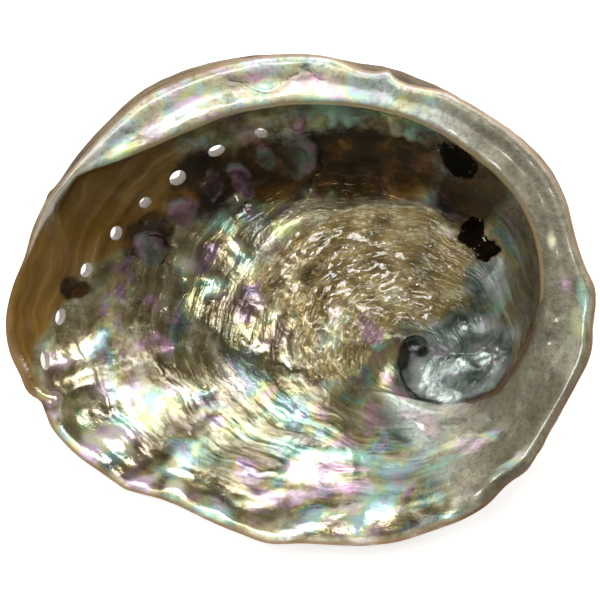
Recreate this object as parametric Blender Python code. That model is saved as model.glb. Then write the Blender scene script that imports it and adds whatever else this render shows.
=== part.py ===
"""An abalone shell lying on its rounded back, its pearly inside facing up.

Outlines and profiles are in millimetres, and the finished mesh is in metres.
Directions are degrees seen from above: 0 is the broad end at +X, and they grow anticlockwise.
"""

import math

import bmesh
import bpy
import numpy as np
from mathutils import Vector

MM = 0.001

# Mesh fineness
SEGMENTS = 98
INSIDE_STEPS = (3, 3, 3, 2, 2, 2, 1, 1, 1, 1, 1, 2, 2, 1)
OUTSIDE_STEPS = (1, 1, 1, 2, 1, 1, 1, 2, 2, 2, 2)

# Rim, as seen from above
RIM = (
    (-74.9, -5.2), (-73.4, 2.9), (-70.3, 11.0), (-68.3, 18.3), (-65.5, 24.7), (-61.7, 30.5),
    (-56.9, 36.8), (-51.9, 42.6), (-46.0, 48.4), (-40.0, 53.3), (-32.6, 56.8), (-23.0, 60.1),
    (-13.2, 61.9), (-3.5, 62.4), (4.6, 62.1), (14.2, 60.1), (22.0, 58.8), (27.8, 56.8),
    (33.6, 54.5), (45.8, 47.9), (52.9, 43.1), (60.2, 36.3), (64.0, 31.5), (67.6, 23.7),
    (69.8, 15.1), (72.4, 7.7), (74.6, 1.9), (73.9, -7.2), (73.6, -13.0), (69.8, -21.6),
    (65.0, -30.0), (61.2, -37.1), (57.9, -42.4), (52.1, -47.2), (47.1, -52.2), (41.7, -55.5),
    (33.6, -58.6), (24.0, -61.6), (14.2, -62.4), (-0.3, -61.9), (-8.3, -61.9), (-15.7, -59.3),
    (-25.3, -55.0), (-34.9, -50.7), (-44.8, -47.7), (-51.9, -42.9), (-59.2, -37.1),
    (-63.5, -31.8), (-64.8, -28.5), (-66.3, -25.4), (-68.3, -24.2), (-71.3, -18.8),
    (-73.6, -14.0),
)

# Inner lip of the shelf, from where it starts at the left round the top to the spire
LIP = (
    (-61.0, 27.7), (-45.3, 35.3), (-37.4, 38.6), (-27.8, 42.6), (-18.0, 46.4), (-8.3, 48.4),
    (-0.3, 49.2), (9.4, 49.0), (19.0, 47.7), (28.8, 44.9), (35.9, 41.4), (43.3, 36.3),
    (50.6, 30.0), (55.4, 23.7), (58.7, 15.8), (60.2, 7.7), (60.2, 0.4), (57.9, -8.7),
    (54.9, -14.3), (49.6, -22.6), (43.6, -25.6), (37.4, -26.4), (31.3, -25.8), (27.2, -24.8),
)
OPEN_LIP = 0.80             # where the lip's line runs on the open side, as a share of the rim

# Stations round the shell: direction, value
RIM_HEIGHT = (
    (0, 40.5), (30, 41.2), (60, 41.6), (90, 41.4), (120, 40.2), (150, 38.0), (180, 35.2),
    (210, 33.6), (240, 34.2), (270, 35.2), (300, 36.6), (330, 39.0),
)
SHELF = (
    (0, 1.0), (60, 1.0), (120, 1.0), (148, 1.0), (158, 0.55), (168, 0.0), (200, 0.0),
    (270, 0.0), (292, 0.0), (303, 0.25), (313, 0.75), (321, 0.97), (328, 1.0), (345, 1.0),
)
LIP_DROP = (
    (0, 2.0), (60, 1.6), (120, 1.5), (150, 1.2), (180, 1.0), (270, 1.0), (285, 5.0),
    (300, 16.0), (312, 21.0), (321, 20.0), (327, 16.0), (333, 11.5), (339, 7.5), (347, 4.0),
)
STEEPNESS = (
    (0, 2.3), (60, 2.3), (120, 2.5), (160, 2.75), (180, 2.9), (200, 2.6), (230, 2.2),
    (270, 2.0), (310, 1.9), (340, 2.0),
)
BACK_BULGE = (
    (0, 0.2), (50, 0.3), (62, 1.1), (82, 0.9), (95, 0.4), (108, 1.2), (130, 1.7), (148, 1.5),
    (165, 0.5), (180, 0.2), (270, 0.2),
)

FLOOR_HEIGHT = 3.2
FLOOR_MIDDLE = (9.5, 6.0)
BOWL_WALL = (               # curve of the wall under the shelf: share of its reach, of its height
    (0, 0), (0.25, 0.012), (0.47, 0.075), (0.65, 0.20), (0.79, 0.38), (0.90, 0.61), (0.97, 0.82),
    (1, 1),
)
OPEN_SLOPE = (0, 0.25, 0.47, 0.65, 0.79, 0.88, 0.93, 0.955, 0.97, 0.985, 1)
LIP_THICKNESS = 2.6
SHELF_LEAST_WIDTH = 2.2
SHELF_EDGE_DEPTH = 5.6      # height of the outer wall's upper part, next to a narrow shelf
UNDERCUT = 6.0
FLOOR_WALL = 3.6
FLOOR_CURVE = 0.0022        # rise of the middle of the floor, per square millimetre
RIM_WALL = 1.5
SHELF_WALLS = (3.6, 3.6, 3.4, 3.2, 3.2, 3.4, 3.8, 4.2, 3.6)     # from the floor to the rim
OPEN_WALLS = (3.6, 3.6, 3.4, 3.2, 3.1, 3.0, 2.8, 2.7, 2.1)

# Row of breathing holes: x, y, width, length, turn of the long side
HOLES = (
    (-10.1, 42.6, 2.7, 3.6, -20), (-21.5, 38.1, 3.1, 4.4, 20), (-31.4, 31.2, 3.9, 4.5, 30),
    (-39.7, 24.9, 2.9, 3.3, 40), (-47.1, 17.1, 3.2, 3.7, 50), (-54.6, 7.7, 3.2, 3.9, 60),
    (-61.2, -4.2, 2.8, 4.3, 70), (-65.0, -15.3, 2.7, 5.0, 84),
)
HOLE_LEAN = 20              # each hole leans out this far from upright on its way down
HOLE_DEPTH = 16.0
HOLE_FLARE = 0.8            # width at the cutter's lower end as a share of the width inside
HOLE_MOUTH = 1.25           # and at its upper end
HOLE_COLLAR = 1.1           # how far the back stands proud round a hole
HOLE_SIDES = 14

# Older holes, grown shut: x, y, radius of the knob left inside
CLOSED_HOLES = (
    (-6.1, 44.3, 1.1), (-0.8, 45.6, 1.6), (7.8, 45.6, 1.6), (12.4, 45.0, 1.2),
    (16.7, 44.9, 1.3), (24.3, 43.6, 1.8), (28.3, 42.1, 1.5), (32.6, 40.4, 1.7),
    (-62.6, -25.6, 1.9),
)

# Spire and the pocket inside it
SPIRE = (35.0, -17.0)
SPIRAL_RATE = 0.52          # growth of the spiral's radius per radian
POCKET = (39.5, -15.5)
POCKET_HALF = (15.6, 11.5, 7.0)
POCKET_LEVEL = 12.4         # height of the pocket's widest part over its middle
POCKET_RISE = 0.08          # climb of the pocket per millimetre towards its open end
POCKET_TURN = 28
POCKET_WALL = 3.2
SPIRE_BLEND = 2.5
POCKET_DIP = 5.8            # dip of the floor where it runs into the pocket
POCKET_DIP_AT = (46.5, -8.5)
POCKET_DIP_SPREAD = 11.5
LIP_MOUNDS = (              # swellings of the floor along the end of the lip: x, y, height, spread
    (23.0, -26.0, 3.4, 11.0), (22.0, -18.5, 6.5, 8.0),
)

# Relief
SCAR = (20.0, 8.0)
SCAR_HALF = (34.0, 17.5)
SCAR_TURN = 4
RIM_FOLDS = 0.6
BACK_RIDGES = 0.55
BACK_FLAT_HALF = 60.0


def clear_scene():
    for item in list(bpy.data.objects):
        bpy.data.objects.remove(item)


def polar(points):
    """Direction and distance of each point from the middle of the shell."""
    spots = np.array(points)
    return np.degrees(np.arctan2(spots[:, 1], spots[:, 0])) % 360, np.hypot(*spots.T)


def around(directions, values, wanted):
    """A smooth closed course through the stations, read at the wanted directions."""
    order = np.argsort(directions)
    station = np.array(directions, float)[order]
    value = np.array(values, float)[order]
    station = np.concatenate([station[-2:] - 360, station, station[:2] + 360])
    value = np.concatenate([value[-2:], value, value[:2]])
    slope = np.gradient(value, station)
    turn = np.asarray(wanted) % 360
    i = np.clip(np.searchsorted(station, turn, side="right") - 1, 0, len(station) - 2)
    span = station[i + 1] - station[i]
    u = (turn - station[i]) / span
    rise = u * u * (3 - 2 * u)
    bend = u * (1 - u)
    course = value[i] * (1 - rise) + value[i + 1] * rise
    return course + span * bend * ((1 - u) * slope[i] - u * slope[i + 1])


def station_course(stations, wanted):
    directions, values = zip(*stations)
    return around(directions, values, wanted)


def lip_radius(directions, rim):
    """The shelf's lip where there is a shelf, and a line just inside the rim elsewhere."""
    lip_at, lip = polar(LIP)
    open_at = np.arange(175.0, 251.0, 12.5)
    rim_at, rim_radius = polar(RIM)
    open_lip = OPEN_LIP * around(rim_at, rim_radius, open_at)
    course = around(np.concatenate([lip_at, open_at]), np.concatenate([lip, open_lip]), directions)
    return np.minimum(course, rim - SHELF_LEAST_WIDTH)


def sections(directions):
    """Inner profile points in every direction, as distance and height, and what shaped them."""
    rim_at, rim_radius = polar(RIM)
    silhouette = around(rim_at, rim_radius, directions)
    edge = silhouette - station_course(BACK_BULGE, directions)
    lip = lip_radius(directions, edge)
    top = station_course(RIM_HEIGHT, directions)
    shelf = np.clip(station_course(SHELF, directions), 0, 1)
    ledge = top - station_course(LIP_DROP, directions)
    steep = station_course(STEEPNESS, directions)
    taper = 1 - 0.9 * smooth_step(122, 150, directions) * (1 - smooth_step(308, 324, directions))
    under = np.minimum(UNDERCUT, 0.5 * (edge - lip)) * taper
    wall = lip + under
    soffit = ledge - LIP_THICKNESS

    floor = np.full_like(edge, FLOOR_HEIGHT)
    lift = soffit - 3.5 - floor
    shelf_side = [(away * wall, floor + climb * lift) for away, climb in BOWL_WALL] + [
        (wall - 0.3 * under, soffit - 0.8),
        (lip + 0.25 * under, soffit),
        (lip, ledge - 0.5 * LIP_THICKNESS),
        (lip + 0.7, ledge),
        (0.5 * (lip + edge), 0.55 * ledge + 0.45 * top),
        (edge - 1.0, top),
        (edge, top - 0.8),
    ]
    reach = [share * lip for share in OPEN_SLOPE]
    reach += [lip + share * (edge - lip) for share in (0.06, 0.5)] + [edge - 1.0, edge]
    open_side = [(away, floor + (top - floor) * (away / edge) ** steep) for away in reach]
    open_side[-1] = (edge, top - 0.8)
    points = np.array(shelf_side) * shelf + np.array(open_side) * (1 - shelf)
    return points, silhouette, top, shelf, steep


def offset_profile(points, walls):
    """Each profile point moved out through the wall, square to the profile."""
    ahead = np.roll(points, -1, axis=0)
    behind = np.roll(points, 1, axis=0)
    ahead[-1] = points[-1]
    behind[0] = points[0]
    along = ahead - behind
    length = np.hypot(along[:, 0], along[:, 1])
    normal = np.stack([along[:, 1], -along[:, 0]], axis=1) / length[:, None]
    return points + normal * walls[:, None]


def outer_sections(inner, silhouette, top, shelf, steep):
    """Outer profile points from the rim down to the middle of the back."""
    walls = np.array(SHELF_WALLS)[:, None] * shelf + np.array(OPEN_WALLS)[:, None] * (1 - shelf)
    back = offset_profile(np.concatenate([inner[:8], inner[12:13]]), walls)
    back[0, 0] = 0
    back[:, 0] = np.minimum(back[:, 0], silhouette - 1.0)
    edge, lip = inner[-1, 0], inner[10, 0]
    narrow = shelf * (1 - smooth_step(15, 24, edge - lip))
    below_shelf = np.array([silhouette - 0.3, top - SHELF_EDGE_DEPTH])
    back[8] = below_shelf * narrow + back[8] * (1 - narrow)
    near = 0.962 * edge
    slope = np.array([near, FLOOR_HEIGHT + (top - FLOOR_HEIGHT) * (near / edge) ** steep - RIM_WALL])
    collar = np.array([silhouette, top - 3.6])
    shoulder = collar * shelf + slope * (1 - shelf)
    blunt = np.array([0.6 * edge + 0.4 * silhouette - 0.1, inner[-1, 1] - 1.0])
    return np.concatenate([inner[-1:], blunt[None], shoulder[None], back[::-1]])


def along(points, steps):
    """Points on a smooth line through the profile points, so many steps to each span."""
    count = len(points)
    chord = np.maximum(np.hypot(*(points[1:] - points[:-1]).transpose(1, 0, 2)), 1e-6)[:, None]
    rate = (points[1:] - points[:-1]) / chord
    tangent = np.empty_like(points)
    tangent[0] = rate[0]
    tangent[-1] = rate[-1]
    tangent[1:-1] = (rate[1:] * chord[:-1] + rate[:-1] * chord[1:]) / (chord[1:] + chord[:-1])
    rings = []
    for i in range(count - 1):
        for step in range(steps[i]):
            u = step / steps[i]
            rise = u * u * (3 - 2 * u)
            bend = u * (1 - u) * chord[i]
            ends = points[i] * (1 - rise) + points[i + 1] * rise
            rings.append(ends + bend * ((1 - u) * tangent[i] - u * tangent[i + 1]))
    rings.append(points[-1])
    return np.array(rings)


def blob(x, y, centre, spread):
    """1 at the centre, fading smoothly to nothing about two spreads away."""
    return np.exp(-((x - centre[0]) ** 2 + (y - centre[1]) ** 2) / spread**2)


def oval(x, y, centre, half, turn):
    """0 in the middle of a turned oval and 1 on its edge."""
    c, s = math.cos(math.radians(turn)), math.sin(math.radians(turn))
    u = (x - centre[0]) * c + (y - centre[1]) * s
    v = (y - centre[1]) * c - (x - centre[0]) * s
    return np.hypot(u / half[0], v / half[1])


def smooth_step(low, high, value):
    u = np.clip((value - low) / (high - low), 0, 1)
    return u * u * (3 - 2 * u)


def spire_turns(x, y):
    """Turns along the growth spiral, which winds out from the spire, and distance from it."""
    dx, dy = x - SPIRE[0], y - SPIRE[1]
    away = np.maximum(np.hypot(dx, dy), 0.5)
    turn = np.arctan2(dy, dx)
    return (turn - np.log(away) / SPIRAL_RATE) / (2 * math.pi), away


def rim_folds(x, y, silhouette):
    """Soft folds square to the rim along the growing side, deepest at the rim."""
    direction = np.degrees(np.arctan2(y, x)) % 360
    share = np.hypot(x, y) / silhouette
    growing = smooth_step(175, 200, direction) * (1 - smooth_step(318, 335, direction))
    phase = np.radians(direction)
    swell = 0.65 + 0.35 * np.sin(5 * phase + 1.0)
    waves = np.sin(19 * phase + 0.6 + 1.3 * np.sin(3 * phase)) + 0.5 * np.sin(31 * phase + 2.1)
    waves = swell * waves
    return RIM_FOLDS * growing * smooth_step(0.62, 1.0, share) * waves


def scar_relief(x, y):
    """The muscle scar: a low rough patch of ridges that curve round the spire."""
    inside = 1 - smooth_step(0.7, 1.05, oval(x, y, SCAR, SCAR_HALF, SCAR_TURN))
    turns, away = spire_turns(x, y)
    ridges = np.sin(away * 0.7 + 4 * turns) + 0.5 * np.sin(away * 1.1 + 9 * turns + 1.0)
    pit = 0.9 * blob(x, y, (3.0, 7.2), 2.0)
    return inside * 0.16 * ridges + 0.4 * inside - pit


def inside_relief(x, y, silhouette):
    lift = rim_folds(x, y, silhouette) + scar_relief(x, y)
    mounds = sum(height * blob(x, y, (mx, my), spread) for mx, my, height, spread in LIP_MOUNDS)
    return lift + mounds - floor_dip(x, y)


def floor_dip(x, y):
    """How far the floor sinks on its way into the pocket."""
    return POCKET_DIP * blob(x, y, POCKET_DIP_AT, POCKET_DIP_SPREAD)


def pocket_level(x, y):
    """Height of the pocket's widest part, which climbs towards its open end."""
    turn = math.radians(POCKET_TURN)
    run = (x - POCKET[0]) * math.cos(turn) + (y - POCKET[1]) * math.sin(turn)
    return POCKET_LEVEL + POCKET_RISE * run


def under_pocket(x, y, height):
    """The back pushed down where the pocket needs a wall under it: the low spire."""
    half = [value + POCKET_WALL for value in POCKET_HALF]
    within = oval(x, y, POCKET, half[:2], POCKET_TURN)
    depth = half[2] * np.sqrt(np.maximum(1 - within**2, 0))
    low = pocket_level(x, y) - depth
    gap = np.clip(0.5 + 0.5 * (height - low) / SPIRE_BLEND, 0, 1)
    blended = height * (1 - gap) + low * gap - SPIRE_BLEND * gap * (1 - gap)
    return np.where(within < 1, blended, height)


def back_relief(x, y, silhouette):
    """Lowering of the back: the spire, its coils, the hole row and the growth ridges."""
    turns, away = spire_turns(x, y)
    coil = 0.9 * np.cos(2 * math.pi * turns + 2.4) * smooth_step(1.5, 7, away)
    coil = coil * (1 - smooth_step(20, 34, away))
    share = np.hypot(x, y) / silhouette
    middle = smooth_step(0.1, 0.42, share) * (1 - smooth_step(0.93, 1.0, share))
    lines = np.sin(0.62 * away + 1.5 * turns) + 0.5 * np.sin(1.07 * away + 5 * turns)
    cords = 0.35 * np.sin(2 * math.pi * 9 * turns)
    row = 1.0 * np.exp(-((hole_row_distance(x, y) / 3.4) ** 2))
    collars = sum(
        HOLE_COLLAR * blob(x, y, (hole[0] * 1.02, hole[1] * 1.02), 3.0) for hole in HOLES
    )
    return coil + row + collars + middle * (BACK_RIDGES * lines + cords)


def hole_row_distance(x, y):
    """Distance from the line that the breathing holes and the closed ones follow."""
    stops = [hole[:2] for hole in reversed(CLOSED_HOLES[:-1])] + [hole[:2] for hole in HOLES]
    nearest = np.full(np.shape(x), 1e9)
    for (ax, ay), (bx, by) in zip(stops[:-1], stops[1:]):
        sx, sy = bx - ax, by - ay
        u = np.clip(((x - ax) * sx + (y - ay) * sy) / (sx * sx + sy * sy), 0, 1)
        nearest = np.minimum(nearest, np.hypot(x - ax - u * sx, y - ay - u * sy))
    return nearest


def shell_rings(segments, inside_steps, outside_steps):
    """Every ring of the shell, from the middle of the floor over the rim to the back."""
    directions = np.arange(segments) * 360 / segments
    inner, silhouette, top, shelf, steep = sections(directions)
    outer = outer_sections(inner, silhouette, top, shelf, steep)
    inside = along(inner, inside_steps)
    outside = along(outer, outside_steps)[1:]
    cos, sin = np.cos(np.radians(directions)), np.sin(np.radians(directions))
    rings = []
    for number, (distance, height) in enumerate(np.concatenate([inside, outside])):
        x, y = distance * cos, distance * sin
        within = number < len(inside)
        off_centre = (x - FLOOR_MIDDLE[0]) ** 2 + (y - FLOOR_MIDDLE[1]) ** 2
        middle = FLOOR_HEIGHT + FLOOR_CURVE * off_centre - (0 if within else FLOOR_WALL)
        off_middle = smooth_step(0.12, 0.48, distance / silhouette)
        height = height * off_middle + middle * (1 - off_middle)
        if within:
            height = height + inside_relief(x, y, silhouette)
        else:
            height = height + rim_folds(x, y, silhouette) - 0.9 * floor_dip(x, y)
            height = under_pocket(x, y, height)
            height = height - smooth_step(0.5, 6.0, height) * back_relief(x, y, silhouette)
        rings.append(np.stack([x, y, height], axis=1))
    return np.array(rings)


def shaped_ball(name, rings):
    """A ball whose rings of latitude are moved to the given rings, top first."""
    count, segments = rings.shape[:2]
    mesh = bpy.data.meshes.new(name)
    ball = bmesh.new()
    bmesh.ops.create_uvsphere(ball, u_segments=segments, v_segments=count - 1, radius=1)
    for vert in ball.verts:
        ring = round(math.acos(max(-1, min(1, vert.co.z))) / math.pi * (count - 1))
        segment = round(math.atan2(vert.co.y, vert.co.x) / (2 * math.pi) * segments) % segments
        vert.co = Vector(rings[ring, segment]) * MM
    ball.to_mesh(mesh)
    ball.free()
    mesh.shade_smooth()
    item = bpy.data.objects.new(name, mesh)
    bpy.context.scene.collection.objects.link(item)
    return item


def as_cutter(item):
    item.hide_render = True
    item.display_type = "WIRE"


def cut(target, cutter, operation="DIFFERENCE"):
    """Applies one exact Boolean to the target."""
    boolean = target.modifiers.new(cutter.name, "BOOLEAN")
    boolean.operation = operation
    boolean.solver = "EXACT"
    boolean.object = cutter
    with bpy.context.temp_override(object=target, active_object=target):
        bpy.ops.object.modifier_apply(modifier=boolean.name)
    bpy.data.objects.remove(cutter)


def add_ellipsoid(name, centre, half, turn, segments=40, rings=20):
    bpy.ops.mesh.primitive_uv_sphere_add(segments=segments, ring_count=rings, radius=1)
    item = bpy.context.object
    item.name = name
    item.location = [value * MM for value in centre]
    item.scale = [value * MM for value in half]
    item.rotation_euler.z = math.radians(turn)
    bpy.ops.object.transform_apply(location=True, rotation=True, scale=True)
    as_cutter(item)
    return item


def cut_pocket(shell):
    """The hollow of the spire, which runs in under the end of the lip."""
    pocket = add_ellipsoid("pocket", (*POCKET, 0), POCKET_HALF, POCKET_TURN)
    for vert in pocket.data.vertices:
        vert.co.z += pocket_level(vert.co.x / MM, vert.co.y / MM) * MM
    cut(shell, pocket)


def surface_height(shell, x, y):
    """Height of the inside, straight down from above the given spot."""
    found, place, _, _ = shell.ray_cast(Vector((x * MM, y * MM, 1.0)), Vector((0, 0, -1)))
    return place.z / MM if found else FLOOR_HEIGHT


def cut_hole(shell, x, y, width, length, turn):
    """One breathing hole, leaning out and narrowing on its way through the wall."""
    z = surface_height(shell, x, y)
    bpy.ops.mesh.primitive_cone_add(
        vertices=HOLE_SIDES, radius1=HOLE_FLARE, radius2=HOLE_MOUTH, depth=2, end_fill_type="NGON"
    )
    item = bpy.context.object
    item.name = "hole"
    item.scale = (0.5 * length * MM, 0.5 * width * MM, 0.5 * HOLE_DEPTH * MM)
    item.rotation_euler.z = math.radians(turn)
    bpy.ops.object.transform_apply(location=False, rotation=True, scale=True)
    out = Vector((x, y, 0)).normalized()
    lean = math.radians(HOLE_LEAN)
    axis = Vector((-out.x * math.sin(lean), -out.y * math.sin(lean), math.cos(lean)))
    item.rotation_mode = "QUATERNION"
    item.rotation_quaternion = Vector((0, 0, 1)).rotation_difference(axis)
    item.location = Vector((x, y, z)) * MM
    bpy.ops.object.transform_apply(location=True, rotation=True, scale=False)
    as_cutter(item)
    cut(shell, item)


def add_closed_hole(shell, x, y, radius):
    """The pearly knob over a hole that has grown shut."""
    z = surface_height(shell, x, y) - 0.5 * radius
    knob = add_ellipsoid("knob", (x, y, z), (1.3 * radius, 1.2 * radius, radius), 0, 10, 6)
    cut(shell, knob, "UNION")


def rub_back_flat(shell):
    """The worn flat that the shell rests on."""
    bpy.ops.mesh.primitive_cube_add(size=2)
    item = bpy.context.object
    item.name = "ground"
    item.scale = (BACK_FLAT_HALF * MM, BACK_FLAT_HALF * MM, 10 * MM)
    item.location.z = -10 * MM
    bpy.ops.object.transform_apply(location=True, rotation=True, scale=True)
    as_cutter(item)
    cut(shell, item)


def finish_mesh(shell):
    """Triangles only, with points that fall together made one."""
    body = bmesh.new()
    body.from_mesh(shell.data)
    bmesh.ops.remove_doubles(body, verts=body.verts, dist=0.02 * MM)
    bmesh.ops.triangulate(body, faces=body.faces)
    bmesh.ops.recalc_face_normals(body, faces=body.faces)
    body.to_mesh(shell.data)
    body.free()
    shell.data.shade_smooth()


def nacre_material():
    material = bpy.data.materials.new("nacre")
    material.use_nodes = True
    surface = material.node_tree.nodes["Principled BSDF"]
    surface.inputs["Base Color"].default_value = (0.42, 0.37, 0.25, 1)
    surface.inputs["Roughness"].default_value = 0.28
    surface.inputs["Metallic"].default_value = 0.0
    surface.inputs["IOR"].default_value = 1.6
    return material


def build():
    clear_scene()
    shell = shaped_ball("abalone_shell", shell_rings(SEGMENTS, INSIDE_STEPS, OUTSIDE_STEPS))
    for knob in CLOSED_HOLES:
        add_closed_hole(shell, *knob)
    cut_pocket(shell)
    for hole in HOLES:
        cut_hole(shell, *hole)
    rub_back_flat(shell)
    finish_mesh(shell)
    shell.data.materials.clear()
    shell.data.materials.append(nacre_material())


build()
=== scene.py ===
# %% [markdown]
# # An abalone shell, seen into its pearly inside
#
# The shell lies on its rounded back. An abalone grows it as one piece: a thin outer crust, and
# inside it layer upon layer of nacre, also called mother of pearl. Nacre is made of clear plates
# half a thousandth of a millimetre thick, and light that is thrown back by many such layers
# shows pink, mint and gold. This lesson builds one closed form for the whole shell, carves what
# the animal left on it, and then paints it with nodes that follow the way it grew.
#
# Blender counts in metres. The outlines below are in millimetres, which is how one would
# measure such a shell, and they are made metres when a mesh gets them.

# %% The fixed frame
import math

import bpy
import numpy as np
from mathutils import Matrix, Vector
from mathutils.kdtree import KDTree


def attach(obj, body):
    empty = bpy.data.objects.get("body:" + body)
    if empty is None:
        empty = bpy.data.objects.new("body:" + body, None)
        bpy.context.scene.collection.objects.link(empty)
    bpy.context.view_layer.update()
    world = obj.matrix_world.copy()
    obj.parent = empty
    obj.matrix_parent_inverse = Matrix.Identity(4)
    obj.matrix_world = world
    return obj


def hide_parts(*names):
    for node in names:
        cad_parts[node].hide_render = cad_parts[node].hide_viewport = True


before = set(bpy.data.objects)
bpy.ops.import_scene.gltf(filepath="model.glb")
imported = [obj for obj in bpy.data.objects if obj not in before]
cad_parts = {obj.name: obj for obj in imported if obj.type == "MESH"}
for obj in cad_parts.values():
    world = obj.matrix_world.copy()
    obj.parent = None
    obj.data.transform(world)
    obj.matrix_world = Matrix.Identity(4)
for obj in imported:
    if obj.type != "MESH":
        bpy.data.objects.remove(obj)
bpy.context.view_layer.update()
MM = 0.001

# %% [markdown]
# ## The outline
#
# Seen from above, the shell is an ear-shaped oval with an uneven edge. One could trace it with
# a Bezier curve, but the inside, the shelf and the back all have to follow the same outline, so
# it is kept here as points, and every section of the shell asks for its distance in any
# direction. Directions are degrees from above: 0 is the broad end, and they grow anticlockwise.

# %% Rim and the inner lip of the shelf, traced from above
RIM = (
    (-74.9, -5.2), (-73.4, 2.9), (-70.3, 11.0), (-68.3, 18.3), (-65.5, 24.7), (-61.7, 30.5),
    (-56.9, 36.8), (-51.9, 42.6), (-46.0, 48.4), (-40.0, 53.3), (-32.6, 56.8), (-23.0, 60.1),
    (-13.2, 61.9), (-3.5, 62.4), (4.6, 62.1), (14.2, 60.1), (22.0, 58.8), (27.8, 56.8),
    (33.6, 54.5), (45.8, 47.9), (52.9, 43.1), (60.2, 36.3), (64.0, 31.5), (67.6, 23.7),
    (69.8, 15.1), (72.4, 7.7), (74.6, 1.9), (73.9, -7.2), (73.6, -13.0), (69.8, -21.6),
    (65.0, -30.0), (61.2, -37.1), (57.9, -42.4), (52.1, -47.2), (47.1, -52.2), (41.7, -55.5),
    (33.6, -58.6), (24.0, -61.6), (14.2, -62.4), (-0.3, -61.9), (-8.3, -61.9), (-15.7, -59.3),
    (-25.3, -55.0), (-34.9, -50.7), (-44.8, -47.7), (-51.9, -42.9), (-59.2, -37.1),
    (-63.5, -31.8), (-64.8, -28.5), (-66.3, -25.4), (-68.3, -24.2), (-71.3, -18.8),
    (-73.6, -14.0),
)
LIP = (
    (-61.0, 27.7), (-45.3, 35.3), (-37.4, 38.6), (-27.8, 42.6), (-18.0, 46.4), (-8.3, 48.4),
    (-0.3, 49.2), (9.4, 49.0), (19.0, 47.7), (28.8, 44.9), (35.9, 41.4), (43.3, 36.3),
    (50.6, 30.0), (55.4, 23.7), (58.7, 15.8), (60.2, 7.7), (60.2, 0.4), (57.9, -8.7),
    (54.9, -14.3), (49.6, -22.6), (43.6, -25.6), (37.4, -26.4), (31.3, -25.8), (27.2, -24.8),
)
OPEN_LIP = 0.80             # where the lip's line runs on the open side, as a share of the rim
print("rim points:", len(RIM), "lip points:", len(LIP))

# %% Stations round the shell: direction, value
RIM_HEIGHT = (
    (0, 40.5), (30, 41.2), (60, 41.6), (90, 41.4), (120, 40.2), (150, 38.0), (180, 35.2),
    (210, 33.6), (240, 34.2), (270, 35.2), (300, 36.6), (330, 39.0),
)
SHELF = (
    (0, 1.0), (60, 1.0), (120, 1.0), (148, 1.0), (158, 0.55), (168, 0.0), (200, 0.0),
    (270, 0.0), (292, 0.0), (303, 0.25), (313, 0.75), (321, 0.97), (328, 1.0), (345, 1.0),
)
LIP_DROP = (
    (0, 2.0), (60, 1.6), (120, 1.5), (150, 1.2), (180, 1.0), (270, 1.0), (285, 5.0),
    (300, 16.0), (312, 21.0), (321, 20.0), (327, 16.0), (333, 11.5), (339, 7.5), (347, 4.0),
)
STEEPNESS = (
    (0, 2.3), (60, 2.3), (120, 2.5), (160, 2.75), (180, 2.9), (200, 2.6), (230, 2.2),
    (270, 2.0), (310, 1.9), (340, 2.0),
)
BACK_BULGE = (
    (0, 0.2), (40, 0.25), (52, 0.2), (54.5, 0.2), (58.6, 1.2), (63.3, 2.2), (66.9, 1.9),
    (69.3, 0.7), (71.5, 1.6), (76, 1.4), (81, 0.4), (88, 0.2), (95, 0.4), (108, 1.2),
    (130, 1.7), (148, 1.5), (165, 0.5), (180, 0.2), (270, 0.2),
)

# %% Reading a smooth closed course between stations


def polar(points, centre=(0.0, 0.0)):
    """Direction and distance of each point, seen from a centre."""
    spots = np.array(points) - np.array(centre)
    return np.degrees(np.arctan2(spots[:, 1], spots[:, 0])) % 360, np.hypot(*spots.T)


def around(directions, values, wanted):
    """A smooth closed course through the stations, read at the wanted directions."""
    order = np.argsort(directions)
    station = np.array(directions, float)[order]
    value = np.array(values, float)[order]
    station = np.concatenate([station[-2:] - 360, station, station[:2] + 360])
    value = np.concatenate([value[-2:], value, value[:2]])
    slope = np.gradient(value, station)
    turn = np.asarray(wanted) % 360
    i = np.clip(np.searchsorted(station, turn, side="right") - 1, 0, len(station) - 2)
    span = station[i + 1] - station[i]
    u = (turn - station[i]) / span
    rise = u * u * (3 - 2 * u)
    bend = u * (1 - u)
    course = value[i] * (1 - rise) + value[i + 1] * rise
    return course + span * bend * ((1 - u) * slope[i] - u * slope[i + 1])


def station_course(stations, wanted):
    directions, values = zip(*stations)
    return around(directions, values, wanted)


def smooth_step(low, high, value):
    u = np.clip((value - low) / (high - low), 0, 1)
    return u * u * (3 - 2 * u)


def between(start, full, fading, gone, value):
    """Rises smoothly from 0 to 1, stays, and falls to 0 again."""
    return smooth_step(start, full, value) * (1 - smooth_step(fading, gone, value))


print("rim's distance from the middle at 0 and 90 degrees:", around(*polar(RIM), [0, 90]))

# %% [markdown]
# ## The section in each direction
#
# Cut through the middle, the wall runs from the floor up to the rim. Towards the far side it
# curls over into a broad shelf, with a hollow beneath it. A Screw or Spin modifier would turn
# one section about an axis, but here the section changes all the way round, from the deep
# undercut beneath the shelf to the plain slope of the growing side. So each direction gets its
# own section, mixed from the two kinds.

# %% Inner section: fifteen key points from the floor to the rim
FLOOR_HEIGHT = 3.2
FLOOR_MIDDLE = (9.5, 6.0)
LIP_THICKNESS = 2.6
UNDERCUT = 6.0              # how far the bowl goes in under the shelf
FLOOR_WALL = 3.6
FLOOR_CURVE = 0.0022        # rise of the floor per square millimetre from its middle
RIM_WALL = 1.5


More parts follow.
